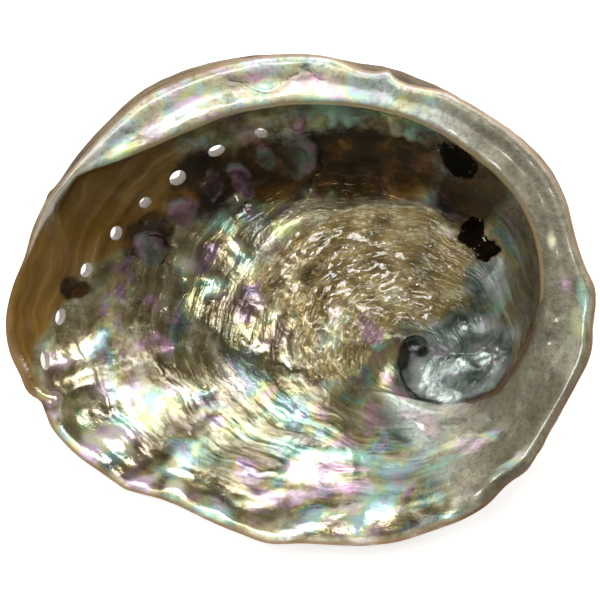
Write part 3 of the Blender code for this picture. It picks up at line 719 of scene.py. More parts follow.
# %% Fine relief on the back: growth ridges, spiral cords and a crusty grain
turns, _ = spire_turns(X, Y)
away_from_rim = smooth_step(14.6, 17.5, key) * smooth_step(0.03, 0.14, age)
ridges = growth_layers(age, turn, BACK_BANDS)
cords = 0.3 * np.sin(2 * math.pi * 21 * turns + 2 * even_grain(14.0, 23))
worn_flat = smooth_step(0.4, 2.5, Z)
back_fine = ridges + cords * smooth_step(0.15, 0.5, age) + grain_layers(CRUST_GRAIN)
back_fine = back_fine * away_from_rim * worn_flat
print("back relief from", back_fine.min(), "to", back_fine.max())

# %% Moving every point square to the surface


def grid_normals(x, y, z):
    """Unit normals of the ring grid, outwards from the shell's wall."""
    points = np.stack([x, y, z], axis=2)
    down = np.gradient(points, axis=0)
    across = np.roll(points, -1, axis=1) - np.roll(points, 1, axis=1)
    normal = np.cross(down, across)
    size = np.linalg.norm(normal, axis=2, keepdims=True)
    return normal / np.maximum(size, 1e-9)


normals = grid_normals(X, Y, Z)
lift = np.where(is_inside, inside_relief, back_fine)
lift[0], lift[-1] = lift[0].mean(), lift[-1].mean()
normals[0], normals[-1] = (0, 0, 1), (0, 0, -1)
points = np.stack([X, Y, Z], axis=2) + normals * lift[:, :, None]
points[:, :, 2] = np.maximum(points[:, :, 2], 0)
print("normal in the middle of the bowl:", normals[3, 0], "on the back:", normals[-4, 0])

# %% The ball, with its rings moved to the shell's rings


def deselect_all():
    bpy.ops.object.select_all(action="DESELECT")


def make_active(item):
    deselect_all()
    item.select_set(True)
    bpy.context.view_layer.objects.active = item


def read_points(item):
    flat = np.empty(len(item.data.vertices) * 3)
    item.data.vertices.foreach_get("co", flat)
    return flat.reshape(-1, 3)


def write_points(item, spots):
    item.data.vertices.foreach_set("co", np.ascontiguousarray(spots, float).ravel())
    item.data.update()


deselect_all()
bpy.ops.mesh.primitive_uv_sphere_add(segments=SEGMENTS, ring_count=len(X) - 1, radius=1)
shell = bpy.context.object
shell.name = "nacre_shell"
ball = read_points(shell)
ring = np.rint(np.arccos(np.clip(ball[:, 2], -1, 1)) / math.pi * (len(X) - 1)).astype(int)
bearing = np.arctan2(ball[:, 1], ball[:, 0])
spoke = np.rint(bearing / (2 * math.pi) * SEGMENTS).astype(int) % SEGMENTS
write_points(shell, points[ring, spoke] * MM)
print("points:", len(ball), "faces:", len(shell.data.polygons))

# %% [markdown]
# ## Holes and the spire's pocket
#
# The animal breathed through the open holes. Each is a short tube that leans outwards on its
# way through the wall. The pocket is the inside of the spire, the shell's first turns, with a
# small groove where the spire's lip curls in on itself. All cut through what is already there, so
# they are cut with Boolean modifiers, as a drill would. The cutters are joined first, because
# one exact Boolean on a fine mesh is quicker than nine.

# %% Cutters for the holes and the pocket
HOLE_LEAN = 20              # degrees from upright; a hole leans outwards on its way down
HOLE_FLARE = 0.8            # width of the cutter at its lower end, as a share of the hole's
HOLE_MOUTH = 1.25           # and at its upper end
HOLE_DEPTH = 16.0
HOLE_RINGS = 22             # cuts across the cutter, which give the hole's wall points to paint
CURL = (28.4, -12.3)
CURL_HALF = (4.3, 3.0, 2.4)
CURL_TURN = 25
CURL_SINK = 1.5


def surface_height(x, y):
    """Height of the inside, straight down from above the given spot."""
    found, place, _, _ = shell.ray_cast(Vector((x * MM, y * MM, 1.0)), Vector((0, 0, -1)))
    return place.z / MM if found else FLOOR_HEIGHT


def hole_cutter(x, y, width, length, turned):
    """A cone that leans out, narrower on the back than inside."""
    deselect_all()
    bpy.ops.mesh.primitive_cone_add(vertices=40, radius1=HOLE_FLARE, radius2=HOLE_MOUTH, depth=2)
    cutter = bpy.context.object
    mesh = cutter.data
    bpy.ops.object.mode_set(mode="EDIT")
    bpy.ops.mesh.select_mode(type="EDGE")
    bpy.ops.mesh.select_all(action="DESELECT")
    bpy.ops.object.mode_set(mode="OBJECT")
    for edge in mesh.edges:
        low, high = [mesh.vertices[end].co.z for end in edge.vertices]
        edge.select = abs(high - low) > 1
    bpy.ops.object.mode_set(mode="EDIT")
    bpy.ops.mesh.subdivide(number_cuts=HOLE_RINGS)
    bpy.ops.object.mode_set(mode="OBJECT")
    cutter.scale = (0.5 * length * MM, 0.5 * width * MM, 0.5 * HOLE_DEPTH * MM)
    cutter.rotation_euler.z = math.radians(turned)
    bpy.ops.object.transform_apply(location=False, rotation=True, scale=True)
    out = Vector((x, y, 0)).normalized()
    lean = math.radians(HOLE_LEAN)
    axis = Vector((-out.x * math.sin(lean), -out.y * math.sin(lean), math.cos(lean)))
    cutter.rotation_mode = "QUATERNION"
    cutter.rotation_quaternion = Vector((0, 0, 1)).rotation_difference(axis)
    cutter.location = Vector((x, y, surface_height(x, y))) * MM
    bpy.ops.object.transform_apply(location=True, rotation=True, scale=False)
    return cutter


def egg(segments, half, turned, x, y, z):
    """A ball drawn out to half sizes in millimetres, turned and put in its place."""
    deselect_all()
    bpy.ops.mesh.primitive_uv_sphere_add(segments=segments, ring_count=segments // 2, radius=1)
    form = bpy.context.object
    form.scale = [value * MM for value in half]
    form.rotation_euler.z = math.radians(turned)
    form.location = (x * MM, y * MM, z * MM)
    bpy.ops.object.transform_apply(location=True, rotation=True, scale=True)
    return form


def pocket_cutter():
    """An egg-shaped hollow with a slanting middle and a little cloudy relief."""
    cutter = egg(120, POCKET_HALF, POCKET_TURN, *POCKET, 0)
    spots = read_points(cutter) / MM
    x, y = spots[:, 0], spots[:, 1]
    spots[:, 2] += pocket_level(x, y)
    spots[:, 2] += 0.35 * grain(x / 3.0, y / 3.0, 31) + 0.15 * grain(x / 1.2, y / 1.2, 32)
    write_points(cutter, spots * MM)
    return cutter


def combine(first, second, way):
    """Applies one exact Boolean of the second form to the first, and removes the second."""
    make_active(first)
    boolean = first.modifiers.new(way.lower(), "BOOLEAN")
    boolean.operation = way
    boolean.solver = "EXACT"
    boolean.object = second
    bpy.ops.object.modifier_apply(modifier=boolean.name)
    bpy.data.objects.remove(second)
    return first


curl_cutter = egg(40, CURL_HALF, CURL_TURN, *CURL, surface_height(*CURL) - CURL_SINK)
hollow_cutter = combine(pocket_cutter(), curl_cutter, "UNION")
cutters = [hole_cutter(*hole) for hole in HOLES] + [hollow_cutter]
print("cutters:", len(cutters))

# %% One exact Boolean
deselect_all()
for cutter in cutters:
    cutter.select_set(True)
bpy.context.view_layer.objects.active = cutters[0]
bpy.ops.object.join()
combine(shell, bpy.context.object, "DIFFERENCE")
print("faces after the cut:", len(shell.data.polygons))

# %% [markdown]
# ## Fields for the paint
#
# A shader can't know where the shelf or the scar is, so each field is written to the points as
# an attribute. The Boolean made new points, and they take the fields of the nearest old
# point. Near the spire every new point is on the pocket's wall, and elsewhere a new point
# well away from any old one is on the wall of a breathing hole. The pocket has marks of its
# own: a grey haze about it, pearly clouds in it, a dark curl of painted shade where the spire's
# lip turns in, a thin thread of painted shade running on from the curl, and a dark brown line of
# painted shade along the lip, where it overhangs the pocket.

# %% Fields of the whole ring grid
LIP_RING = sum(INSIDE_STEPS[:11])       # number of the ring that runs along the lip
PALE_RIM_AT = 152                       # direction in which the rim has a pale band
PALE_RIM_REACH = 28                     # degrees
rim_line = np.linalg.norm(points - points[inside_count - 1][None], axis=2)
lip_line = np.linalg.norm(points - points[LIP_RING][None], axis=2)
no_lip = 5 * (1 - shelf_side) + 4 * smooth_step(136, 152, direction)
stain = nearest_oval(STAINS)
FIELDS = {
    "age": age,
    "inside": is_inside * 1.0,
    "shelf": on_shelf,
    "flank": flank,
    "scar": scar,
    "film": film,
    "blister": blister,
    "crack": np.clip(crack, 0, 3),
    "seam": np.clip(seam, 0, 3),
    "crest": crests,
    "pink": swells(PINK_FLASHES, 1.2),
    "mint": swells(MINT_FLASHES, 1.2),
    "lime": swells(LIME_FLASHES, 1.2),
    "trough": troughs,
    "stain": np.where(in_bowl > 0.5, np.clip(stain, 0, 2), 2),
    "rim_line": np.clip(rim_line, 0, 5),
    "pale_rim": np.clip(rim_line + 6 * np.abs(direction - PALE_RIM_AT) / PALE_RIM_REACH - 3, 0, 5),
    "lip_line": np.clip(lip_line + no_lip, 0, 5),
    # painted shade under the right part of the shelf
    "under": under_shelf_shade,
}
print("fields:", list(FIELDS))

# %% Nearest old point of every point of the cut mesh
NEW_POINT = 0.02            # a point this far from any old one is new
HOLE_WALL = 0.4             # away from the spire, a point this far is on a hole's wall
POCKET_REACH = 20.0
finder = KDTree(points.shape[0] * SEGMENTS)
for number, spot in enumerate(points.reshape(-1, 3)):
    finder.insert(spot, number)
finder.balance()
spots = read_points(shell) / MM
found = [finder.find(spot) for spot in spots]
nearest = np.array([item[1] for item in found])
gap = np.array([item[2] for item in found])
spot_x, spot_y = spots[:, 0], spots[:, 1]
in_pocket = (gap > NEW_POINT) & (np.hypot(spot_x - POCKET[0], spot_y - POCKET[1]) < POCKET_REACH)
in_hole = (gap > HOLE_WALL) & ~in_pocket
print("points:", len(spots), "in the pocket:", in_pocket.sum(), "in the holes:", in_hole.sum())

# %% Writing the attributes
# What the fields are in the pocket, where the marks of the bowl and the rim are far away
FAR_IN_POCKET = {"inside": 1, "age": 0.1, "crack": 3, "seam": 3, "stain": 2, "rim_line": 5,
                 "pale_rim": 5, "lip_line": 5}


def at_nearest(field):
    """A field of the ring grid, read for every point of the cut mesh."""
    return np.broadcast_to(field, X.shape).ravel()[nearest]


def write_field(name, values):
    """Writes one value to every point."""
    layer = shell.data.attributes.new(name, "FLOAT", "POINT")
    layer.data.foreach_set("value", np.ascontiguousarray(values, np.float32))


for name, values in FIELDS.items():
    write_field(name, np.where(in_pocket, FAR_IN_POCKET.get(name, 0), at_nearest(values)))
write_field("hole", np.where(in_pocket, 0, smooth_step(0.0, 0.35, gap)))
print("attributes:", len(shell.data.attributes))

# %% Marks of the pocket
POCKET_HAZE = ((40.5, -12.5, 17.0, 10.5, 28),)
UPPER_HAZE = ((47.5, 5.0, 9.0, 8.0, 30),)
# Painted shade: the dark curl in the hollow where the spire's lip turns in, and a thin thread of
# it
CURL_SHADE_LINE = ((26.0, -16.4), (26.6, -12.9), (28.9, -11.6), (31.2, -13.2))
CURL_SHADE_THREAD = ((25.9, -15.5), (25.6, -19.0), (27.2, -22.6), (30.5, -25.3), (36.0, -26.4))
# A dark brown line of painted shade along the lip, where it overhangs the pocket
LIP_SHADE_LINE = (
    (42.8, -25.9), (49.8, -23.3), (52.9, -19.4), (55.4, -15.3), (57.4, -10.8), (58.9, -6.5),
)
# Pearly clouds: strength, place, spread
POCKET_PEARL = (
    (1.1, (30.5, -17.5), 2.8), (1.2, (31.5, -22.0), 3.2), (0.9, (38.0, -25.0), 3.0),
    (0.8, (54.5, -8.5), 3.0), (0.6, (50.0, 2.5), 4.0),
)
upper_haze = 0.8 * inside_ovals(UPPER_HAZE, 0.3, 1.2)
haze = np.maximum(inside_ovals(POCKET_HAZE, 0.45, 1.2), upper_haze) * in_bowl
write_field("pocket", np.maximum(in_pocket, at_nearest(haze)))
glow = sum(part * blob(spot_x, spot_y, at, spread) for part, at, spread in POCKET_PEARL)
write_field("glow", glow)
# The curl's painted shade
curl = line_mark(spot_x, spot_y, CURL_SHADE_LINE, 2.1)
curl_shade_thread = 0.72 * line_mark(spot_x, spot_y, CURL_SHADE_THREAD, 0.8)
write_field("curl", np.maximum(curl, curl_shade_thread))
# The lip's painted shade
write_field("worn_lip", line_mark(spot_x, spot_y, LIP_SHADE_LINE, 0.9))
print("points in the haze:", int((haze > 0.5).sum()))

# %% The growth ruler: metres out from the spire, and the turn about it as a ring
RULER_LENGTH = 0.080
RULER_ROUND = 0.030
point_age, point_turn = growth(spot_x, spot_y)
spin = np.radians(point_turn)
ruler_values = np.stack(
    [RULER_LENGTH * point_age, RULER_ROUND * np.cos(spin), RULER_ROUND * np.sin(spin)], axis=1
)
ruler = shell.data.attributes.new("growth", "FLOAT_VECTOR", "POINT")
ruler.data.foreach_set("vector", np.ascontiguousarray(ruler_values, np.float32).ravel())
print("attributes with the ruler:", len(shell.data.attributes))

# %% Which faces are inside and which are the back
inside_now = at_nearest(FIELDS["inside"])
inside_now[in_pocket | in_hole] = 1.0


def read_list(items, name):
    """One whole number from each item of the mesh."""
    numbers = np.empty(len(items), int)
    items.foreach_get(name, numbers)
    return numbers


corner_points = read_list(shell.data.loops, "vertex_index")
first_corner = read_list(shell.data.polygons, "loop_start")
corner_count = read_list(shell.data.polygons, "loop_total")
face_inside = np.add.reduceat(inside_now[corner_points], first_corner) / corner_count
face_slot = np.where(face_inside > 0.5, 0, 1)
print("faces inside:", int((face_slot == 0).sum()), "on the back:", int((face_slot == 1).sum()))

# %% [markdown]
# ## Paint
#
# The inside could be painted with one noise and a colour ramp, but real nacre changes from place
# to place: pale and satin on the shelf, tan on the smooth flank, golden and rough on the
# muscle's scar, nearly black-brown where a horny film shows below the holes. Some coats are
# painted light and shade: shade darkens the film and the wall under the shelf, the curl in the
# pocket, the line under the lip at the pocket, the troughs and the right side of the shelf, and
# painted highlights lie on the crests and as glints on the scar. So the colour is laid in coats,
# as a painter would, and each coat is held back by the field of its place. Colours are sRGB hex
# codes, and one function turns them into the linear values of the shader.

# %% Colour and node helpers


def linear(code):
    """An sRGB hex colour as the linear values that the shader wants."""
    parts = [int(code[i:i + 2], 16) / 255 for i in (1, 3, 5)]
    return [p / 12.92 if p <= 0.04045 else ((p + 0.055) / 1.055) ** 2.4 for p in parts] + [1.0]


def node(tree, kind, settings=None, links=None):
    """Adds one shader node: names in small letters are its settings, the rest its sockets."""
    new = tree.nodes.new("ShaderNode" + kind)
    for name, value in (settings or {}).items():
        if name == "stops":
            ramp = new.color_ramp
            while len(ramp.elements) < len(value):
                ramp.elements.new(0.5)
            for element, (place, code) in zip(ramp.elements, value):
                element.position = place
                element.color = linear(code)
        elif isinstance(name, str) and name[0].islower():
            setattr(new, name, value)
        else:
            new.inputs[name].default_value = value
    for name, source in (links or {}).items():
        tree.links.new(source, new.inputs[name])
    return new


def calculate(tree, operation, *sides):
    """A Math node. Each side is a number or the output of another node."""
    settings = {i: side for i, side in enumerate(sides) if isinstance(side, (int, float))}
    links = {i: side for i, side in enumerate(sides) if i not in settings}
    return node(tree, "Math", {"operation": operation, **settings}, links).outputs[0]


def textured(tree, vector, scale, detail, roughness=0.5):
    """A Noise Texture node, read at a vector."""
    settings = {"Scale": scale, "Detail": detail, "Roughness": roughness}
    return node(tree, "TexNoise", settings, {"Vector": vector})


def swayed(tree, vector, swirl, amount):
    """A vector moved by a coloured noise, by so many metres along x, y and z."""
    return node(tree, "VectorMath", {"operation": "MULTIPLY_ADD", 1: amount},
                {0: swirl, 2: vector}).outputs["Vector"]


def coloured(tree, source, stops):
    """A colour ramp read at a value."""
    return node(tree, "ValToRGB", {"stops": stops}, {"Fac": source}).outputs["Color"]


def bump(tree, height, depth, normal=None):
    """A Bump node of a depth in metres, on top of an earlier one if there is any."""
    links = {"Height": height, "Normal": normal} if normal else {"Height": height}
    return node(tree, "Bump", {"Strength": 1.0, "Distance": depth}, links).outputs["Normal"]


def ranged(tree, source, start, full, low=0.0, high=1.0, way="LINEAR"):
    """A Map Range node: low where the source is at start, high where it is at full."""
    settings = {"interpolation_type": way, "From Min": start, "From Max": full, "To Min": low,
                "To Max": high}
    return node(tree, "MapRange", settings, {"Value": source}).outputs["Result"]


def new_finish(name, values):
    """A material whose Principled surface has the given values, and its node tree."""
    finish = bpy.data.materials.new(name)
    finish.use_nodes = True
    surface = finish.node_tree.nodes["Principled BSDF"]
    for socket, value in values.items():
        surface.inputs[socket].default_value = value
    return finish, finish.node_tree, surface


# Sockets of the colour Mix node, by number
FACTOR, MIX_A, MIX_B, MIX_OUT = 0, 6, 7, 2
print("a pale cream in linear values:", [round(v, 3) for v in linear("#e5e0cd")])

# %% [markdown]
# ### Nacre, laid down smooth by the animal
#
# Nacre is aragonite, with an index of refraction of about 1.6, in flat clear layers. To the
# eye that gives a clear gloss over a metallic depth. Its Principled surface is therefore partly
# metallic, with a thin coat. Growth striae lie 0.5 to 1.5 mm apart, the cloudy patches are about
# a centimetre wide, and the speckle is drawn at 0.6 mm, coarser than the real one, so that it
# shows in the picture. The scar's ridges are bumped so that they catch the light, and thin pale
# threads are painted on them too, as painted highlights.

# %% Nacre: coordinates and noises
nacre, tree, surface = new_finish("nacre_mother_of_pearl", {"IOR": 1.6, "Coat Roughness": 0.08})
place = node(tree, "TexCoord").outputs["Object"]
ruler = node(tree, "Attribute", {"attribute_name": "growth"}).outputs["Vector"]
swirl = textured(tree, place, 90, 2).outputs["Color"]
# The swirl moves place and ruler by up to eight millimetres, so that no pattern runs straight
bent = swayed(tree, ruler, swirl, (0.0045, 0.004, 0.004))
stretched = node(tree, "Mapping", {"Scale": (6, 1, 1)}, {"Vector": bent}).outputs["Vector"]
swirled = swayed(tree, place, swirl, (0.008, 0.008, 0.008))
# noise: where it is read, scale, detail, roughness
NOISES = {
    "cloud": (swirled, 120, 5, 0.6),
    "streak": (stretched, 75, 6, 0.62),
    "hue": (swirled, 95, 3, 0.5),
    "patch": (stretched, 28, 3, 0.55),
    "speckle": (place, 1500, 3, 0.6),
    "glitter": (stretched, 150, 5, 0.6),
    "sparkle": (stretched, 120, 4, 0.6),
    "broken": (place, 900, 4, 0.65),
    "ragged": (place, 420, 6, 0.75),
}
noise = {name: textured(tree, *settings).outputs["Fac"] for name, settings in NOISES.items()}
cells = swayed(tree, place, textured(tree, place, 330, 3).outputs["Color"], (0.003, 0.003, 0.003))
net = node(tree, "TexVoronoi", {"feature": "DISTANCE_TO_EDGE", "Scale": 240}, {"Vector": cells})
print("noises:", list(noise))

# %% [markdown]
# ### Masks and coats
#
# A field gives every mark a soft, even edge, but a stain or a film on a real shell ends in a
# ragged one. So noise is added to the field before it is cut off. The colours of pearl come
# from interference and change the hue more than the brightness: they are laid with the Color
# way of mixing, which keeps the light and dark beneath. Solid things, such as the film with its
# painted shade, the stains and the worn rim, are laid with plain mixing, and so are the painted
# shade and the painted highlights.

# %% Nacre: masks with ragged edges, from fields
# name: field, value where the coat starts, value where it is full, how ragged its edge is
MASKS = {
    "shelf": ("shelf", 0.25, 0.75, 0.1),
    "striated": ("age", 0.84, 0.66, 0.3),
    "flank": ("flank", 0.0, 1.0, 0.3),
    "scar": ("scar", 0.1, 0.8, 0.5),
    "film": ("film", 0.1, 0.75, 0.4),
    "blister": ("blister", 0.1, 0.95, 0.3),
    "crack": ("crack", 0.42, 0.12, 0.35),
    "seam": ("seam", 0.38, 0.10, 0.3),
    "crest": ("crest", 0.12, 1.05, 0.5),
    "trough": ("trough", 0.2, 0.9, 0.5),
    "stain": ("stain", 1.05, 0.9, 0.5),
    "stain_edge": ("stain", 1.22, 1.02, 0.9),
    "rim_line": ("rim_line", 1.3, 0.5, 0.6),
    "rim_band": ("rim_line", 2.8, 1.2, 0.9),
    "pale_rim": ("pale_rim", 2.4, 1.2, 0.5),
    "lip_line": ("lip_line", 1.0, 0.3, 0.4),
    "curl": ("curl", 0.3, 0.75, 0.2),
    "worn_lip": ("worn_lip", 0.25, 0.9, 0.6),
    "glow": ("glow", 0.1, 1.1, 1.2),
    # painted shade under the right part of the shelf
    "under": ("under", 0.0, 1.0, 0.3),
    "stain_core": ("stain", 0.78, 0.62, 0.2),
    "pocket": ("pocket", 0.3, 0.7, 0.0),
    "hole": ("hole", 0.3, 0.7, 0.0),
    "pink": ("pink", 0.1, 1.2, 1.4),
    "mint": ("mint", 0.1, 1.2, 1.4),
    "lime": ("lime", 0.1, 1.2, 1.4),
}
STREAKY = ("pink", "mint", "lime", "crest", "trough", "glow")
sources = sorted({source for source, *_ in MASKS.values()})
field = {name: node(tree, "Attribute", {"attribute_name": name}).outputs["Fac"]
         for name in sources}
mask = {}
for name, (source, start, full, ragged) in MASKS.items():
    edge_noise = noise["streak"] if name in STREAKY else noise["ragged"]
    shift = calculate(tree, "MULTIPLY_ADD", edge_noise, ragged, -0.5 * ragged)
    total = calculate(tree, "ADD", field[source], shift)
    mask[name] = ranged(tree, total, start, full, way="SMOOTHSTEP")
print("masks from fields:", len(mask))

# %% Nacre: masks made from other masks and noises
# The shelf is painted darker towards its right: its grey-olive nacre, deepened with painted shade
SHELF_SHADE_RIGHTWARDS = (0.026, 0.050)       # metres to the right of the middle
mask["patches"] = ranged(tree, noise["patch"], 0.42, 0.62, high=0.85)
x_place = node(tree, "SeparateXYZ", {}, {"Vector": place}).outputs["X"]
to_the_right = ranged(tree, x_place, *SHELF_SHADE_RIGHTWARDS)
mask["shelf_right"] = calculate(tree, "MULTIPLY", to_the_right, mask["shelf"])
mask["shelf_left"] = calculate(tree, "SUBTRACT", mask["shelf"], mask["shelf_right"])
# Painted highlights on the scar: threads follow the line where the noise passes one half, and gaps
# break them up
off_half = calculate(tree, "ABSOLUTE", calculate(tree, "SUBTRACT", noise["sparkle"], 0.5))
thread = ranged(tree, off_half, 0.026, 0.006)
threads = calculate(tree, "MULTIPLY", thread, ranged(tree, noise["broken"], 0.44, 0.54))
mask["painted_glint"] = calculate(tree, "MULTIPLY", threads, mask["scar"])
# Pale flecks are left in the outer part of a stain, where the film has chipped
fleck_ring = calculate(tree, "SUBTRACT", mask["stain"], mask["stain_core"])
mask["flecks"] = calculate(tree, "MULTIPLY", ranged(tree, noise["broken"], 0.60, 0.64), fleck_ring)
dark_grain = ranged(tree, noise["broken"], 0.52, 0.36)
mask["grainy"] = calculate(tree, "MULTIPLY", dark_grain, mask["shelf"])
# A net of fine wrinkles, only in some places
wrinkled = ranged(tree, net.outputs["Distance"], 0.055, 0.015)
mask["net"] = calculate(tree, "MULTIPLY", wrinkled, ranged(tree, noise["hue"], 0.47, 0.56))
print("masks:", len(mask))

# %% Nacre: colour ramps, each read from one noise
RAMPS = {
    "base": ("cloud", ((0.30, "#45381c"), (0.42, "#726442"), (0.52, "#968b6b"),
                       (0.62, "#bcb69c"), (0.74, "#e6e4d6"))),
    "striae": ("streak", ((0.34, "#2f2510"), (0.46, "#7a6d4c"), (0.56, "#a79f84"),
                          (0.70, "#f4f2e6"))),
    "rainbow": ("hue", ((0.32, "#ab9ac8"), (0.38, "#dfb0cc"), (0.43, "#e3c78f"),
                        (0.48, "#d9da8c"), (0.53, "#a0d8ac"), (0.58, "#98d0dc"),
                        (0.64, "#aeb4d8"), (0.70, "#dbb0cf"))),
    # Pale pearly tints for the crests, which also act as painted highlights
    "pearl": ("hue", ((0.36, "#f0d2ea"), (0.43, "#f8f3ea"), (0.49, "#f4f2bd"),
                      (0.55, "#c6f3de"), (0.61, "#c8e8f8"), (0.68, "#eed6f0"))),
    "satin": ("cloud", ((0.30, "#b5ae9a"), (0.45, "#d6d1bf"), (0.58, "#e9e6d8"),
                        (0.72, "#f8f6ee"))),
    # Grey-olive satin of the shelf's right part, darkened with painted shade
    "satin_shaded_grey": ("cloud", ((0.30, "#4a432e"), (0.45, "#5e573f"), (0.58, "#736d53"),
                             (0.74, "#969478"))),
    "tan": ("streak", ((0.32, "#55390c"), (0.46, "#6d4d15"), (0.58, "#806028"),
                       (0.70, "#94783e"))),
    "golden": ("cloud", ((0.30, "#5c4a1c"), (0.45, "#8f773c"), (0.56, "#b49c5c"),
                         (0.70, "#dccf9c"))),
    # Near-black brown of the film, which also serves as painted shade under the shelf
    "horn_and_shade": ("cloud", ((0.30, "#0b0400"), (0.44, "#241200"), (0.56, "#462a00"),
                       (0.70, "#7a5208"))),
    "blister": ("hue", ((0.30, "#2b1d18"), (0.40, "#523a48"), (0.48, "#93707f"),
                        (0.55, "#6a7b70"), (0.62, "#4b4a38"), (0.70, "#38281c"))),
    "slate": ("cloud", ((0.30, "#37443f"), (0.42, "#62726c"), (0.49, "#84968f"),
                        (0.54, "#978f9b"), (0.60, "#a9beb5"), (0.70, "#e6eee8"))),
}
ramp = {name: coloured(tree, noise[source], stops) for name, (source, stops) in RAMPS.items()}
print("ramps:", list(ramp))

# %% Nacre: the coats of colour, from the first to the last
# coat: colour or ramp, mask, strength, way of mixing
COATS = (
    ("striae", "striated", 0.42, "MIX"),
    ("rainbow", "patches", 1.0, "COLOR"),
    ("golden", "scar", 0.75, "MIX"),
    ("#3f3822", "net", 0.45, "MIX"),
    ("satin", "shelf", 0.8, "MIX"),
    ("rainbow", "shelf_left", 0.38, "COLOR"),
    # grey-olive with painted shade on the shelf's right part
    ("satin_shaded_grey", "shelf_right", 0.86, "MIX"),
    ("#3a3422", "grainy", 0.4, "MIX"),
    # painted highlight: pale pearly tints on the crests
    ("pearl", "crest", 0.85, "MIX"),
    # painted shade in the troughs
    ("#4a3e24", "trough", 0.66, "MIX"),
    ("#dc86c0", "pink", 0.6, "COLOR"),
    ("#f2c3e2", "pink", 0.4, "MIX"),
    ("#74dcb8", "mint", 0.65, "COLOR"),
    ("#c2f2df", "mint", 0.4, "MIX"),
    ("#c6dd64", "lime", 0.7, "COLOR"),
    ("#e4efae", "lime", 0.35, "MIX"),
    # painted highlight: pale glints along the scar's threads
    ("#fffbe8", "painted_glint", 0.85, "MIX"),
    ("tan", "flank", 0.96, "MIX"),
    ("satin", "pale_rim", 0.7, "MIX"),
    # brown film, darkened further as painted shade under the shelf
    ("horn_and_shade", "film", 0.94, "MIX"),
    ("blister", "blister", 0.85, "MIX"),
    ("slate", "pocket", 0.9, "MIX"),
    ("#e4f1ec", "glow", 0.8, "MIX"),
    # painted shade in the curl of the spire's lip
    ("#150d05", "curl", 0.93, "MIX"),
    # painted shade along the lip over the pocket
    ("#5a3a18", "worn_lip", 0.8, "MIX"),
    # painted shade on the wall under the right part of the shelf
    ("#2c220c", "under", 0.7, "MIX"),
    ("#4a2c12", "stain_edge", 0.5, "MIX"),
    ("#070301", "stain", 0.98, "MIX"),
    ("#d8d2c2", "flecks", 0.8, "MIX"),
    ("#120b05", "crack", 0.95, "MIX"),
    ("#5f5c4b", "seam", 0.8, "MIX"),
    ("#6e5226", "hole", 0.9, "MIX"),
    ("#b79b70", "lip_line", 0.75, "MIX"),
    ("#80603a", "rim_line", 0.85, "MIX"),
)
colour = ramp["base"]
for paint, where, strength, way in COATS:
    settings = {"data_type": "RGBA", "blend_type": way}
    links = {MIX_A: colour, FACTOR: calculate(tree, "MULTIPLY", mask[where], strength)}
    if paint in ramp:
        links[MIX_B] = ramp[paint]
    else:
        settings[MIX_B] = linear(paint)
    colour = node(tree, "Mix", settings, links).outputs[MIX_OUT]
tree.links.new(colour, surface.inputs["Base Color"])
print("coats of colour:", len(COATS))

# %% [markdown]
# ### Gloss
#
# Bare nacre mirrors in its own colour, like metal, under a clear gloss. The flank, the holes and
# the worn rim are plain lime, and the curl and the place under the shelf are painted as deep
# shade, so all these are hardly metallic. The dark band below the holes, brown horny film with
# painted shade on it, is thin and lets the pearl's gleam through, browned. A stain is so black
# that nearly no light comes back, and a metallic black gives that without a grey veil.

# %% Nacre: gloss
# The curl and the wall under the shelf are painted as shade, so they get little metal and coat
PLAIN_PARTS = ("flank", "hole", "curl", "under", "rim_band")


def highest(first, names):
    """The largest of the first value and the named masks."""
    for name in names:
        first = calculate(tree, "MAXIMUM", first, mask[name])
    return first


plain = highest(calculate(tree, "MULTIPLY", mask["shelf"], 0.55), PLAIN_PARTS)
metal = highest(ranged(tree, plain, 0, 1, 0.55, 0.05), ("stain",))
tree.links.new(metal, surface.inputs["Metallic"])
# The film with its painted shade gets less coat, except on the blisters
off_blisters = ranged(tree, mask["blister"], 0, 1, 1.0, 0.35)
dull_film_and_shade = calculate(tree, "MULTIPLY", mask["film"], off_blisters)
clear = ranged(tree, highest(dull_film_and_shade, PLAIN_PARTS + ("stain",)), 0, 1, 0.4, 0.06)
tree.links.new(clear, surface.inputs["Coat Weight"])
satin = ranged(tree, highest(mask["shelf"], ("rim_band",)), 0, 1, 0.2, 0.46)
tree.links.new(satin, surface.inputs["Roughness"])
print("gloss linked to Metallic, Coat Weight and Roughness")

# %% Nacre: fine relief
# bump: source, depth in metres, where
BUMPS = (
    ("streak", 0.00038, "striated"),
    ("cloud", 0.00040, None),
    ("glitter", 0.00080, "scar"),
    ("speckle", 0.00004, None),
)
bumped = None
for source, depth, where in BUMPS:
    height = noise[source]
    if where:
        height = calculate(tree, "MULTIPLY", height, mask[where])
    bumped = bump(tree, height, depth, bumped)
tree.links.new(bumped, surface.inputs["Normal"])
print("bumps:", len(BUMPS))

# %% [markdown]
# ### The outer crust
#
# The back is the older, rougher side: limy crust with a thin horny skin, brown to grey-tan,
# with redder growth bands and pale worn places on the ridges. It is dull, so it gets a rough
# surface and no metal. The crust's grain is about 0.5 to 1 mm wide, and its growth bands lie
# one to three millimetres apart.

